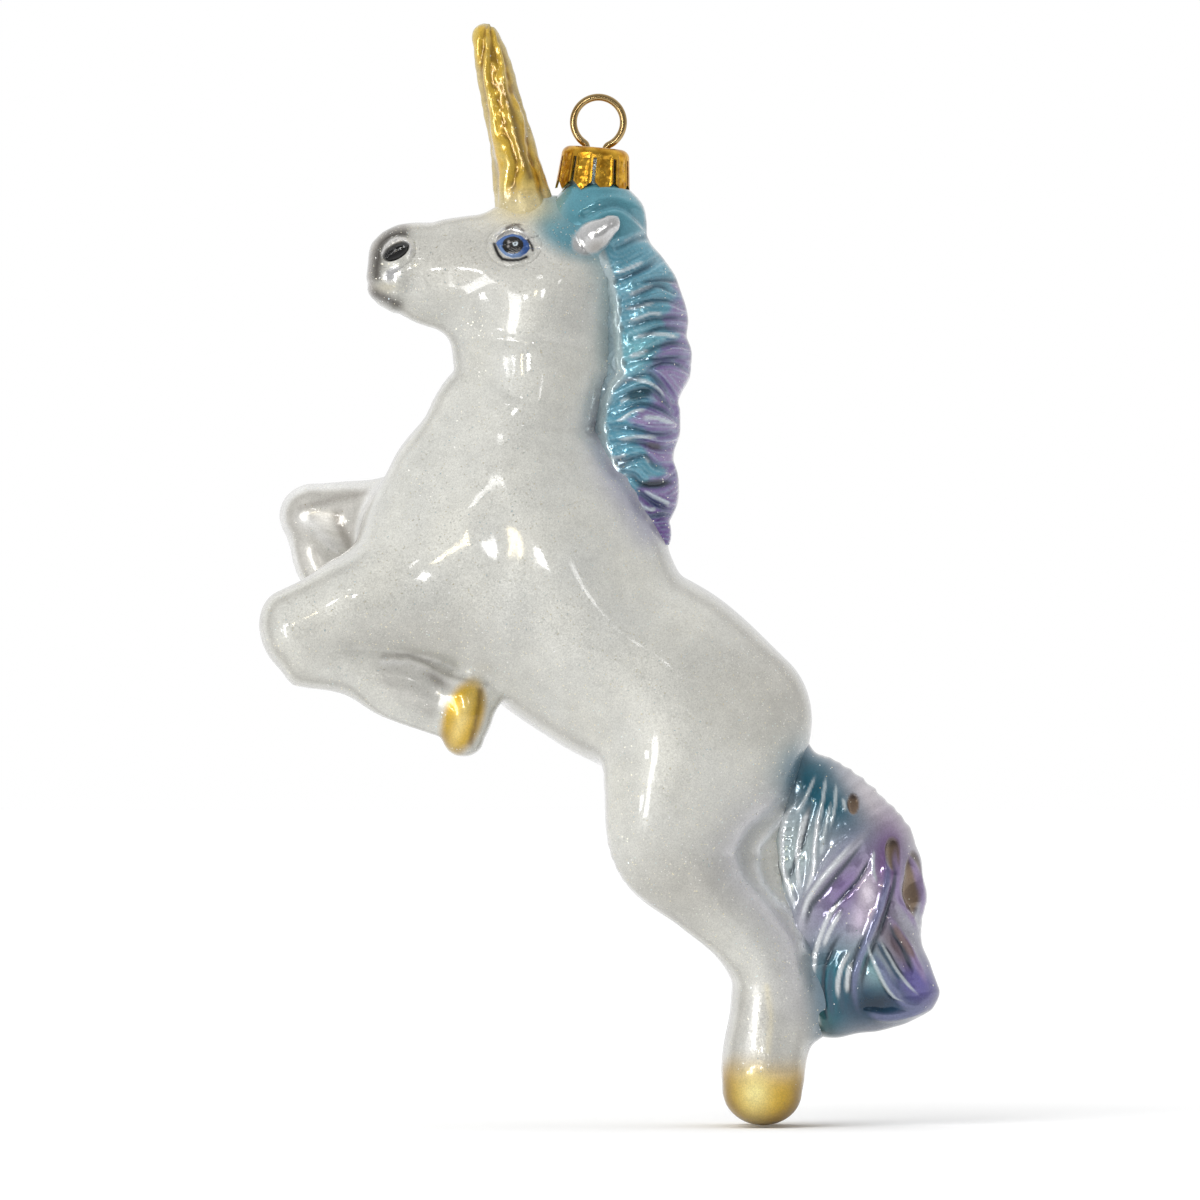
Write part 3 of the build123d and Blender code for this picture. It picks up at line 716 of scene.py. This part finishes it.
def figure_paint(points, normals):
    """Pearl glass with its airbrushed places, painted shade and painted highlights, and a painted reflection
    along the outline.
    """
    xy = to_px(points)
    x, y = xy.T
    flank = np.abs(normals[:, 1])
    near = points[:, 1] < 0
    far = ~near
    p = Paint(xy, (230, 229, 220), 0.15, 0.4)
    cloud = ripple(points, 9.0, 3)
    p.coat(0.25 + 0.2 * cloud, (214, 215, 211))
    # Painted shade: greyer patches on head, rump, hock and forearm
    for weight, *place in SHADE_PATCHES_PX:
        p.spot(weight, place, (198, 195, 186))
    # Silver glass left bare on the lower legs
    far_leg = step(x, 392, 360) * step(y, 470, 490) * step(y, 600, 560) * far
    p.coat(0.9 * far_leg, (226, 223, 216), 0.35, 0.25, 0.1)
    # Painted reflections on the far leg's silver
    for weight, *stroke in FAR_LEG_REFLECTIONS_PX:
        p.stroke(weight * far, *stroke)
    silver = step(oval(xy, *NEAR_CANNON_PX), 1.15, 0.6) * near
    silver += 0.8 * step(y, 950, 1010) * step(x, 812, 796)
    p.coat(0.75 * silver, (216, 214, 207), 0.35, 0.2, 0.2)
    # Painted shade along and under the fold, with a painted highlight below it
    for weight, *stroke in FOLD_SHADE_AND_HIGHLIGHT_PX:
        p.stroke(weight * near, *stroke)
    for weight, *spot in FOLD_SHADE_SPOTS_PX:
        p.spot(weight * near, *spot)
    # Painted reflection along the outline: where the surface turns away from the front, a dusky line and a
    # pale rim stand in for the clear glass wall seen edge-on
    leg = step(x, 395, 350) * step(y, 465, 480)
    foot = step(y, 930, 990) * step(x, 815, 800)
    nose = step(x, 470, 420) * step(y, 330, 300)
    edge = 0.46 + 0.3 * leg + 0.2 * foot + 0.14 * nose
    valley, along = to_line(xy, VALLEY_PX)
    open_edge = (1 - bell(valley, 46) * step(y, 1010, 960)) * (1 - bell(oval(xy, *CALM_CHEST_PX)))
    p.coat(0.38 * open_edge * bell(flank - edge, 0.09), (150, 146, 137), 0.2)
    p.coat(0.75 * open_edge * step(flank, edge - 0.05, edge - 0.3), (226, 225, 221), 0.3, 0.12, 0.15)
    p.coat(0.7 * far_leg * step(flank, edge - 0.05, edge - 0.25), (244, 244, 242), 0.1)
    # Overspray beside the mane, the tail and round the horn
    d, t = to_line(xy, MANE_EDGE_PX)
    spray = 0.65 * bell(d, 19)
    p.coat(spray * step(t, 0.75, 0.3), (138, 178, 186))
    p.coat(spray * step(t, 0.3, 0.75), (158, 158, 188))
    p.coat(step(oval(xy, *POLL_SPRAY_PX), 1.25, 0.75), (96, 154, 170), 0.25)
    p.coat(0.6 * bell(valley, 26) * fade(along, 0.1), (186, 186, 190))
    crest = bell(valley, 8) * step(along, 0.05, 0.25) * fade(along, None, 0.8)
    p.coat(0.8 * crest, (222, 221, 224), 0.3, 0.2)
    p.coat(bell(valley, 26) * step(along, 0.22, 0.0), (96, 136, 150), 0.3)
    p.coat(step(x - 0.1 * (y - 900), 786, 812) * step(y, 740, 770), (118, 142, 158), 0.35)
    # Painted highlight along the tail's raised edge
    p.stroke(0.9, TAIL_EDGE_PX, 3.2, (238, 240, 242), 0.3, 0.15)
    p.spot(1, HORN_SPRAY_PX, HORN_FOOT_TONE, 0.25)
    # Muzzle and lips: a grey band painted along the muzzle's outline as a painted reflection, dark airbrush,
    # and a painted highlight on the upper lip
    for stroke in MUZZLE_STROKES_PX:
        p.stroke(*stroke)
    p.spot(0.7, LIP_GOLD_PX, (214, 206, 182))
    # Painted highlight on the upper lip
    p.coat(step(oval(xy, *LIP_HIGHLIGHT_PX), 1.1, 0.7), (240, 240, 240), 0.7, 0.12, 0.0)
    # Painted highlights: a white and a warm streak down the hind cannon, into the gold
    for stroke in HIND_CANNON_HIGHLIGHTS_PX:
        p.stroke(*stroke)
    # Gold hooves, painted darker where they turn away from the front, with painted highlights and a line of
    # painted shade
    gold = step(y + 5 * cloud, 1044, 1092)
    hoof_side = step(np.abs(points[:, 1]), 3.4, 4.6)
    gold = np.maximum(gold, step(oval(xy, *NEAR_HOOF_PX), 1.12, 0.7) * near * hoof_side)
    gold = np.maximum(gold, step(oval(xy, *FAR_HOOF_PX), 1.1, 0.75) * far * hoof_side)
    p.coat(gold, (224, 180, 34), 0.35, 0.3, 0.0)
    # Painted shade: darker gold where the hoof turns away from the front
    p.coat(0.85 * gold * step(flank, 0.96, 0.5), (148, 112, 6))
    p.spot(0.8 * near, NEAR_HOOF_HIGHLIGHT_PX, (253, 228, 146))
    p.stroke(0.8 * near, NEAR_HOOF_SHADE_PX, 3, (118, 86, 18))
    p.spot(gold, HIND_HOOF_HIGHLIGHT_PX, (255, 240, 160))
    # Silver ears, with painted shade at their lower base
    ear = step(oval(xy, *EAR_SILVER_PX), 1.12, 0.92) * step(np.abs(points[:, 1]), 5.6, 6.3)
    p.coat(ear, (228, 228, 228), 0.6, 0.18, 0.0)
    p.spot(0.7 * ear, EAR_SHADE_PX, (150, 144, 134))
    return p


def eye_relief(xy, paint):
    """Almond eye between two lids, painted by hand, with a black line below and a silver lid above."""
    x, y = xy.T
    upper, lower = (np.interp(x, *np.array(line).T) for line in (UPPER_LID_PX, LOWER_LID_PX))
    inside = np.minimum(y - upper, lower - y)
    for stroke in EYE_STROKES_PX:
        paint.stroke(*stroke)
    iris = step(inside, -0.4, 0.7)
    paint.coat(iris, (70, 112, 178), 0.1, 0.25, 0.1)
    paint.coat(0.6 * iris * step(y - 0.35 * (x - 513), 249, 257), (134, 166, 208))
    paint.coat(0.75 * iris * step(x, 518, 527), (24, 72, 144))
    paint.coat(step(oval(xy, *PUPIL_PX), 1.06, 0.95), (5, 5, 7), 0.0, 0.07, 0.0)
    paint.coat(step(oval(xy, *CATCHLIGHT_PX), 1.15, 0.85), (226, 240, 248), 0.0, 0.3)
    paint.coat(0.8 * step(oval(xy, *CATCHLIGHT_CORE_PX), 1.3, 0.6), (30, 42, 62))
    for glint in GLINTS_PX:
        paint.spot(0.6, glint, (236, 230, 228))
    r = oval(xy, EYE_PX, EYE_RADII_PX)
    h = 0.4 * np.maximum(1 - r * r, 0) + 0.3 * bell(to_line(xy, LID_EDGE_PX)[0], 3) - 0.14 * bell(inside, 1.4)
    return h + 0.16 * bell(to_line(xy, CHEEK_FOLD_PX)[0], 3)


def nostril_relief(xy, paint):
    """A deep black oval inside a bright rim."""
    r = oval(xy, NOSTRIL_PX, NOSTRIL_RADII_PX, NOSTRIL_TILT)
    for stroke in NOSTRIL_STROKES_PX:
        paint.stroke(*stroke)
    paint.coat(step(r, 1.06, 0.9), (8, 7, 7), 0.0, 0.1, 0.0)
    return 0.26 * bell(to_line(xy, NOSTRIL_RIM_PX)[0], 2.6) - 0.75 * np.sqrt(np.maximum(1 - r * r, 0))


def patch(name, side, detail):
    """A fine oval piece of the face: rings of points on the glass, closed behind."""
    centre, radii, tilt = PATCHES[name]
    rings, spokes = ((72, 160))
    r = np.arange(1, rings + 1) / rings
    a = np.arange(spokes) / spokes * 2 * math.pi
    u, v = (r[:, None] * np.cos(a)).ravel(), (r[:, None] * np.sin(a)).ravel()
    u, v = np.append(u, 0) * radii[0], np.append(v, 0) * radii[1]
    c, s = math.cos(math.radians(tilt)), math.sin(math.radians(tilt))
    xy = np.column_stack([centre[0] + u * c + v * s, centre[1] - u * s + v * c])
    xz = to_mm(xy)
    inner, outer = (np.full(len(xy), place) for place in FACE_SIDES)
    for _ in range(FACE_HALVINGS):
        mid = (outer + inner) / 2
        inside = figure_form.at(np.column_stack([xz[:, 0], side * mid, xz[:, 1]])) < 0
        inner, outer = np.where(inside, mid, inner), np.where(inside, outer, mid)
    points = np.column_stack([xz[:, 0], side * outer, xz[:, 1]])
    normals = figure_form.slope(points)
    normals /= np.linalg.norm(normals, axis=1, keepdims=True)
    rim = np.append(np.repeat(r, spokes), 0)
    paint = figure_paint(points, normals)
    h = figure_relief(xy, normals) + 0.05 * step(rim, 1.0, 0.85) - 0.12 * step(rim, 0.9, 1.0)
    h += detail(xy, paint)
    points = points + normals * h[:, None]
    points = np.vstack([points, points[-1] - normals[-1] * PATCH_BACK])
    middle, behind = rings * spokes, rings * spokes + 1
    faces = []
    for j in range(spokes):
        k = (j + 1) % spokes
        faces.append([middle, j, k])
        for i in range(0, middle - spokes, spokes):
            faces.append([i + j, i + spokes + j, i + spokes + k, i + k])
        faces.append([middle - spokes + j, behind, middle - spokes + k])
    if side < 0:
        faces = [f[::-1] for f in faces]
    full = [np.append(v, v[-1:], 0) for v in paint.all()]
    return make_mesh(f"{name}_{'near' if side < 0 else 'far'}", points, faces, full)


# The figure
points, normals, quads = net(figure_form, *GRIDS["body"])
soft = sum(bell(oval(to_px(points), centre, radii)) for centre, radii in SOFT_PX)
points, normals = relax(points, quads, 14, np.clip(soft, 0, 1))
relief = figure_relief(to_px(points), normals)
flank = step(np.abs(normals[:, 1]), 0.2, 0.4)
for place in PATCHES.values():
    relief -= PATCH_RECESS * step(oval(to_px(points), *place), 0.97, 0.7) * flank
make_mesh("unicorn_body", points + normals * relief[:, None], quads, figure_paint(points, normals).all())
for side in (-1, 1):
    patch("eye", side, eye_relief)
    patch("nostril", side, nostril_relief)

# The neck under the cap, turned about its leaning axis: millimetres down from its rim, and radius
NECK_PROFILE = [(9.6, 6.0), (8.4, 4.8), (7.4, 4.3), (6.4, NECK_RADIUS), (3.5, NECK_RADIUS),
                (0.4, NECK_RADIUS), (0.12, 4.08), (0.0, 3.8), (0.12, 3.52), (0.4, NECK_BORE),
                (5.0, NECK_BORE), (12.0, NECK_BORE)]
NECK_SPOKES = 96
down, radius = np.array(NECK_PROFILE).T
around = np.arange(NECK_SPOKES) / NECK_SPOKES * 2 * math.pi
across = radius[:, None] * np.cos(around)
points = np.stack([RIM[0] - down[:, None] * math.sin(LEAN) + across * math.cos(LEAN),
                   radius[:, None] * np.sin(around),
                   RIM[1] - down[:, None] * math.cos(LEAN) - across * math.sin(LEAN)], -1).reshape(-1, 3)
rows = np.arange(len(radius))[:, None] * NECK_SPOKES
here = np.arange(NECK_SPOKES)
there, after = (here + 1) % NECK_SPOKES, np.roll(rows, -1, 0)
corners = np.broadcast_arrays(rows + here, rows + there, after + there, after + here)
quads = np.stack(corners, -1).reshape(-1, 4)
p = Paint(to_px(points), (198, 204, 204), 0.5, 0.2)
sprayed = np.repeat(step(down, 2.0, 5.0) * (radius > 4.1), NECK_SPOKES)
p.coat(sprayed, (92, 142, 156), 0.35, 0.25)
make_mesh("glass_neck", points, quads, p.all())

# Mane, with spots and deep shadows of paint: weight, oval, colour
MANE_SPOTS_PX = [
    (0.8, ((636, 352), (26, 20)), (126, 196, 208)), (0.7, ((630, 425), (24, 40)), (104, 178, 204)),
]
MANE_SHADOWS_PX = [
    (0.85, ((639, 395), (15, 6), 14), (24, 66, 82)), (0.9, ((656, 484), (18, 4.5), 4), (16, 34, 46)),
    (0.7, ((655, 447), (9, 4), -10), (84, 70, 78)),
]
MANE_SMOKE_PX = (617, 466), (13, 7)
points, normals, quads = net(mane_form, *GRIDS["mane"])
points, normals = relax(points, quads, 8)
xy = to_px(points)
x, y = xy.T
groove, beside = strokes(xy, MANE_GROOVES_PX, 3.0)
crest, _ = strokes(xy, MANE_CRESTS_PX, 2.6)
calm = 0.25 + 0.75 * step(y, 222, 262)
groove, crest = calm * groove, calm * crest
d, _ = to_line(xy, MANE_EDGE_PX)
inner = step(d, 6, 2) * step(y, 235, 250)
pillow = step(beside, 0, 8)
strand = np.sin(beside * 1.35 + 1.5 * ripple(xy, 60, 12)) * step(y, 232, 262)
facing = step(np.abs(normals[:, 1]), 0.05, 0.5) * (1 - bell(d, 10) * step(y, 430, 460))
locks = 0.62 * pillow - 0.4 + 0.36 * crest + 0.09 * strand
height = (1 - inner) * facing * locks + 0.25 * inner + 0.08 * ripple(xy, 40, 13)
p = Paint(xy, (104, 168, 190), 0.25, 0.16, 0.18)
p.coat(step(y, 262, 212), (96, 162, 178))
p.coat(0.75 * step(x, 574, 552) * step(y, 246, 226), (154, 182, 180))
for spot in MANE_SPOTS_PX:
    p.spot(*spot)
violet = step(x + 4 * ripple(xy, 22, 14) - np.interp(y, *np.array(VIOLET_FROM_PX).T), -5, 8)
p.coat(0.95 * violet, (136, 112, 174), 0.25)
# Lighter violet on the tops of the locks: painted highlight
p.coat(0.5 * violet * step(beside, 3, 8), (166, 146, 186))
p.coat(0.85 * step(y, 488, 506) * step(x + y, 1136, 1160), (100, 62, 146), 0.3)
# Painted highlight on the fine strands and along the crests, and painted shade in the grooves
p.coat(0.3 * step(strand, 0.2, 0.95), (176, 214, 224))
p.coat(0.85 * step(crest, 0.35, 0.85), (222, 236, 242))
p.coat(0.8 * groove, (26, 72, 100), 0.3)
for weight, place, tone in MANE_SHADOWS_PX:
    p.coat(weight * step(oval(xy, *place), 1.3, 0.5), tone)
p.spot(0.6, MANE_SMOKE_PX, (118, 112, 118), 0.5)
outside = step(x - np.interp(y, *np.array(MANE_EDGE_PX)[:, ::-1].T), 0, -5) * step(y, 240, 262)
p.coat(0.9 * outside, (160, 178, 186), 0.2)
# A pale line along the inner border's ridge: painted highlight
p.coat(0.75 * inner, (196, 208, 208), 0.4, 0.16)
# Greyer where the mane turns away from the front: painted reflection at the outline
p.coat(0.5 * step(np.abs(normals[:, 1]), 0.34, 0.08), (150, 150, 160), 0.2, 0.15)
make_mesh("mane", points + normals * height[:, None], quads, p.all())

# Tail, with colours by place, among them painted highlights at (872, 966), (866, 892) and (860, 916): centre,
# half axes, tilt in degrees, colour, weight
TAIL_TONES_PX = [
    ((795, 855), (40, 62), 0, (190, 206, 208), 1), ((824, 786), (60, 34), -52, (14, 98, 120), 1.2),
    ((884, 806), (60, 20), -46, (200, 194, 200), 1.2), ((846, 888), (30, 50), -42, (138, 112, 168), 0.95),
    ((888, 862), (17, 48), -4, (122, 84, 142), 1), ((832, 992), (28, 52), -4, (30, 108, 126), 1.3),
    ((880, 1000), (44, 26), 12, (0, 72, 104), 1.3), ((872, 966), (12, 24), 24, (124, 168, 174), 0.9),
    ((876, 1003), (26, 11), 12, (0, 34, 56), 0.9), ((900, 946), (13, 40), 32, (82, 66, 92), 0.95),
    ((904, 960), (5, 30), 34, (116, 94, 84), 0.7), ((918, 982), (20, 24), 24, (100, 92, 164), 1.1),
    # Ovals at (866, 892) and (860, 916): painted highlights
    ((812, 1022), (18, 20), 0, (44, 92, 86), 1), ((866, 892), (9, 22), -4, (246, 234, 248), 1),
    ((860, 916), (9, 16), -20, (222, 206, 230), 0.9),
]
points, normals, quads = net(tail_form, *GRIDS["tail"])
points, normals = relax(points, quads, 16)
xy = to_px(points)
y = xy[:, 1]
height = 0.12 * ripple(xy, 40, 22) - 0.2 + 0.8 * bell(to_line(xy, TAIL_EDGE_PX)[0], 16)
p = Paint(xy, (178, 178, 190), 0.3, 0.14, 0.05)
for *place, tone, weight in TAIL_TONES_PX:
    p.spot(weight, place, tone)
for centre, radii, tilt in HOLLOWS_PX:
    r = oval(xy, centre, radii, tilt)
    height -= 0.5 * np.sqrt(np.maximum(1 - r * r, 0))
    bare = step(r, 1.1, 0.8)
    p.coat(bare, (132, 110, 90), 0.6, 0.14, 0.1)
    # Painted shade: darker on the upper part of each hollow
    p.coat(0.8 * bare * step((y - centre[1]) / radii[1], -0.3, -0.8), (62, 50, 50))
for kind, (wide, narrow, rise, tone, weight) in TAIL_STROKES.items():
    height += rise * strokes(xy, TAIL_LOCKS_PX[kind], wide)[0]
    p.coat(weight * step(strokes(xy, TAIL_LOCKS_PX[kind], narrow)[0], 0.15, 0.85), tone)
# Greyer where the tail turns away from the front: painted reflection at the outline
p.coat(0.5 * step(np.abs(normals[:, 1]), 0.36, 0.1) * step(y, 970, 930), (176, 172, 178), 0.2)
make_mesh("tail", points + normals * height[:, None], quads, p.all())

# Horn
HORN_TOP_PX, HORN_FOOT_CENTRE_PX = (489, 42), (527, 218)
# A line of painted shade down the horn, right of its middle
HORN_SHADE_LINE_PX = [(500, 84), (512, 112), (521, 152), (530, 178)]
HORN_RIDGES = 6
points, normals, quads = net(horn_form, *GRIDS["horn"])
xy = to_px(points)
x, y = xy.T
axis = np.interp(y, *np.array([HORN_TOP_PX, HORN_FOOT_CENTRE_PX])[:, ::-1].T)
turn = np.arctan2(points[:, 1] / MM_PER_PX, x - axis)
ring = np.column_stack([y / 70, 0.7 * np.cos(turn), 0.7 * np.sin(turn)])
wave = np.sin(HORN_RIDGES * turn + 0.016 * y + 1.6 * ripple(ring, 1.0, 31))
lump = ripple(ring * (4, 2.0, 2.0), 1.0, 32)
height = (0.26 * wave + 0.05 * lump) * step(y, 216, 188) - 0.1
p = Paint(xy, (234, 192, 66), 0.3, 0.2, 0.15)
# Painted shade in the grooves between the ridges, and painted highlight on their tops
p.coat(0.75 * step(wave + 0.3 * lump, -0.3, -1.0), (138, 98, 12), 0.4)
p.coat(0.55 * step(wave + 0.2 * lump, 0.5, 1.1), (240, 220, 140))
# A dark line of painted shade down the horn
p.stroke(0.75, HORN_SHADE_LINE_PX, 4, (112, 78, 12))
# Paler where the horn turns away from the front: painted reflection at the outline
p.coat(0.7 * step(np.abs(normals[:, 1]), 0.66, 0.3), (212, 198, 152), 0.2)
p.coat(step(y, 178, 206), HORN_FOOT_TONE, 0.25, 0.36, 0.6)
make_mesh("horn", points + normals * height[:, None], quads, p.all())


# Materials
class Nodes:
    """Short way to write a node tree; a node given as an input stands for its first output."""

    def __init__(self, tree):
        self.tree = tree
        tree.nodes.clear()

    def add(self, kind, inputs=None, **settings):
        node = self.tree.nodes.new("ShaderNode" + kind)
        for key, value in settings.items():
            setattr(node, key, value)
        for key, value in (inputs or {}).items():
            socket = node.inputs[key]
            if isinstance(value, bpy.types.Node):
                value = value.outputs[0]
            if isinstance(value, bpy.types.NodeSocket):
                self.tree.links.new(value, socket)
            else:
                socket.default_value = value
        return node

    def math(self, operation, *values):
        return self.add("Math", dict(enumerate(values)), operation=operation)

    def vector(self, operation, *values):
        return self.add("VectorMath", dict(enumerate(values)), operation=operation)

    def scaled(self, vector, scale):
        return self.add("VectorMath", {0: vector, "Scale": scale}, operation="SCALE")

    def span(self, value, start, end, low=0.0, high=1.0):
        """The value, with start to end spread over low to high."""
        return self.add("MapRange", {"Value": value, "From Min": start, "From Max": end,
                                     "To Min": low, "To Max": high})


def new_material(name):
    """A material and the nodes to fill it with."""
    material = bpy.data.materials.new(name)
    material.use_nodes = True
    return material, Nodes(material.node_tree)


FLAKE_SCALE, SPARK_SHARE = 6500.0, 0.025
PETAL_BORDER, CROWN_EDGE = (0.24, 0.34), (-0.0052, -0.0044)


def glass_material():
    """The painted colours with glitter flakes, under a clear coat that waves like blown glass."""
    material, n = new_material("pearl_lacquer_on_glass")
    place = n.add("TexCoord").outputs["Object"]
    paint = n.add("Attribute", attribute_name="paint").outputs["Color"]
    metal, rough, amount = (n.add("Attribute", attribute_name=name).outputs["Fac"]
                            for name in ("metal", "rough", "flake"))
    flake = n.add("TexVoronoi", {"Vector": place, "Scale": FLAKE_SCALE}).outputs["Color"]
    tint = n.add("SeparateColor", {"Color": flake}).outputs
    cloud = n.add("TexNoise", {"Vector": place, "Scale": 420.0, "Detail": 4.0}).outputs["Fac"]
    dusk = n.span(cloud, 0.3, 0.7, 0.92, 1.04)
    grain = n.span(tint["Green"], 0.0, 1.0, 0.88, 1.1)
    base = n.scaled(paint, n.math("MULTIPLY", dusk, grain))
    rare = n.math("MULTIPLY_ADD", amount, -SPARK_SHARE, 1.0)
    spark = n.math("GREATER_THAN", tint["Red"], rare)
    hue = n.add("ValToRGB", {"Fac": tint["Blue"]})
    ramp = hue.color_ramp
    ramp.elements[0].color, ramp.elements[1].color = (1, 1, 1, 1), (0.8, 0.95, 1, 1)
    ramp.elements.new(0.6).color = (1.0, 0.92, 0.68, 1)
    mixed = n.add("Mix", {"Factor": spark, 6: base, 7: hue}, data_type="RGBA")
    lean = n.math("MULTIPLY", amount, n.math("MULTIPLY_ADD", spark, 0.5, 0.2))
    tilt = n.scaled(n.vector("SUBTRACT", flake, (0.5, 0.5, 0.5)), lean)
    turned = n.vector("ADD", n.add("NewGeometry").outputs["Normal"], tilt)
    swell = n.add("TexNoise", {"Vector": place, "Scale": 180.0, "Detail": 1.0}).outputs["Fac"]
    blown = n.add("Bump", {"Strength": 0.12, "Distance": 0.0004, "Height": swell})
    shader = n.add("BsdfPrincipled", {
        "Base Color": mixed.outputs[2], "Metallic": n.math("MAXIMUM", metal, spark), "Roughness": rough,
        "Normal": n.vector("NORMALIZE", turned), "Specular IOR Level": 0.4, "Coat Weight": 1.0,
        "Coat Roughness": 0.07, "Coat IOR": 1.5, "Coat Normal": blown,
    })
    n.add("OutputMaterial", {"Surface": shader})
    return material


def gilt_material(name, tone, dark, rough, dents):
    """Gilt sheet or wire; dents above 0 also emboss the border and the hammered middle of each petal."""
    material, n = new_material(name)
    place = n.add("TexCoord").outputs["Object"]
    scale = 700.0 if dents else 160.0
    stain = n.add("TexNoise", {"Vector": place, "Scale": scale, "Detail": 5.0}).outputs["Fac"]
    hue = n.add("ValToRGB", {"Fac": stain})
    ramp = hue.color_ramp
    ramp.elements[0].position, ramp.elements[1].position = 0.32, 0.62
    ramp.elements[0].color, ramp.elements[1].color = (*srgb(*dark), 1), (*srgb(*tone), 1)
    wear = n.span(stain, 0.0, 1.0, rough + 0.1, rough - 0.06)
    inputs = {"Base Color": hue, "Metallic": 1.0, "Roughness": wear}
    if dents:
        upright = n.add("Mapping", {"Vector": place, "Rotation": (0, -LEAN, 0)})
        axes = n.add("SeparateXYZ", {0: upright}).outputs
        turn = n.math("ARCTAN2", axes["Y"], axes["X"])
        petal = n.math("MULTIPLY_ADD", turn, PETALS / (2 * math.pi), PETALS + 0.5)
        aside = n.math("ABSOLUTE", n.math("SUBTRACT", n.math("FRACT", petal), 0.5))
        ridge = n.math("MAXIMUM", n.span(aside, *PETAL_BORDER), n.span(axes["Z"], *CROWN_EDGE))
        pits = n.add("TexVoronoi", {"Vector": place, "Scale": 1300.0}, feature="SMOOTH_F1")
        relief = n.add("Mix", {0: ridge, 2: n.math("MULTIPLY", pits.outputs["Distance"], dents), 3: 1.0})
        inputs["Normal"] = n.add("Bump", {"Strength": 0.9, "Distance": 0.0004, "Height": relief})
    n.add("OutputMaterial", {"Surface": n.add("BsdfPrincipled", inputs)})
    return material


lacquer = glass_material()
for obj in list(bpy.data.objects):
    if obj.type == "MESH" and "paint" in obj.data.attributes:
        obj.data.materials.append(lacquer)
gilding = {
    "crown_cap": gilt_material("stamped_gilt", (244, 190, 70), (190, 130, 30), 0.26, 0.8),
    "hanger_wire": gilt_material("gilt_wire", (200, 172, 122), (168, 138, 88), 0.16, 0),
}
for node, gilt in gilding.items():
    for entry in frame["nodes"][node].material_slots:
        entry.material = gilt

# Stage
scene = bpy.context.scene
centre = to_mm((PICTURE_PX / 2, PICTURE_PX / 2)) * MM
CAMERA_DISTANCE, SENSOR = 2.0, 36.0
camera = bpy.data.objects.new("camera", bpy.data.cameras.new("camera"))
scene.collection.objects.link(camera)
camera.location = (centre[0], -CAMERA_DISTANCE, centre[1])
camera.rotation_euler = (math.pi / 2, 0, 0)
camera.data.sensor_width = SENSOR
camera.data.lens = SENSOR * CAMERA_DISTANCE / (PICTURE_PX * MM_PER_PX * MM)
scene.camera = camera
scene.view_settings.view_transform = "Standard"


def softbox(name, place, size, radiance, tone=(1, 1, 1), aim=(0, 0, -0.07)):
    """A rectangular lamp that shows in gloss only."""
    data = bpy.data.lights.new(name, "AREA")
    data.shape = "RECTANGLE"
    data.size, data.size_y = size
    data.energy, data.color = radiance * math.pi * size[0] * size[1], tone
    lamp = bpy.data.objects.new(name, data)
    lamp.location = place
    lamp.rotation_euler = (Vector(aim) - Vector(place)).to_track_quat("-Z", "Y").to_euler()
    lamp.visible_diffuse = False
    scene.collection.objects.link(lamp)


def sun(name, place, power, spread):
    """A wide, even lamp that doesn't show in gloss; spread in degrees."""
    data = bpy.data.lights.new(name, "SUN")
    data.energy, data.angle = power, math.radians(spread)
    lamp = bpy.data.objects.new(name, data)
    lamp.rotation_euler = Vector(place).to_track_quat("Z", "Y").to_euler()
    lamp.visible_glossy = False
    scene.collection.objects.link(lamp)


WARM = (1.0, 0.86, 0.55)
sun("key", (-0.7, -0.9, 0.8), 1.3, 40)
sun("top", (0.0, -0.15, 1.0), 0.75, 60)
softbox("window_front", (-0.09, -1.0, 0.15), (0.07, 0.09), 22)
softbox("window_left", (-0.43, -1.0, 0.15), (0.08, 0.06), 20)
softbox("window_side", (-0.9, -1.0, -0.08), (0.12, 0.12), 16)
softbox("window_low", (-0.6, -1.0, -0.16), (0.17, 0.7), 9)
softbox("window_top", (-0.22, -1.0, 0.42), (0.1, 0.04), 10)
softbox("window_right", (0.24, -1.0, 0.23), (0.05, 0.05), 8)
softbox("warm_left", (-0.235, -1.0, 0.18), (0.04, 0.06), 20, WARM)

world = bpy.data.worlds.new("studio")
scene.world = world
world.use_nodes = True
n = Nodes(world.node_tree)
look = n.add("SeparateXYZ", {0: n.add("TexCoord").outputs["Generated"]})
room = n.span(look.outputs["Y"], -0.9, 0.4, 0.22, 0.8)
level = n.add("Mix", {0: n.add("LightPath").outputs["Is Camera Ray"], 2: room, 3: 1.0})
back = n.add("Background", {"Color": (1, 1, 1, 1), "Strength": level})
n.add("OutputWorld", {"Surface": back})

FLOOR_SIDE, FLOOR_FRONT = 3.0, 0.35
floor_z = float(cad_box[0][2])
corners = [(-FLOOR_SIDE, -FLOOR_FRONT, floor_z), (FLOOR_SIDE, -FLOOR_FRONT, floor_z),
           (FLOOR_SIDE, FLOOR_SIDE, floor_z), (-FLOOR_SIDE, FLOOR_SIDE, floor_z)]
mesh = bpy.data.meshes.new("floor")
mesh.from_pydata(corners, [], [(0, 1, 2, 3)])
floor = bpy.data.objects.new("floor", mesh)
scene.collection.objects.link(floor)
material, n = new_material("white_floor")
paper = n.add("BsdfDiffuse", {"Color": (0.85, 0.85, 0.85, 1)})
bright = n.add("BsdfDiffuse", {"Color": (0.18, 0.18, 0.18, 1)})
lit = n.add("AddShader", {0: paper, 1: bright})
shown = n.add("MixShader", {0: n.add("LightPath").outputs["Is Camera Ray"], 1: paper, 2: lit})
n.add("OutputMaterial", {"Surface": shown})
mesh.materials.append(material)
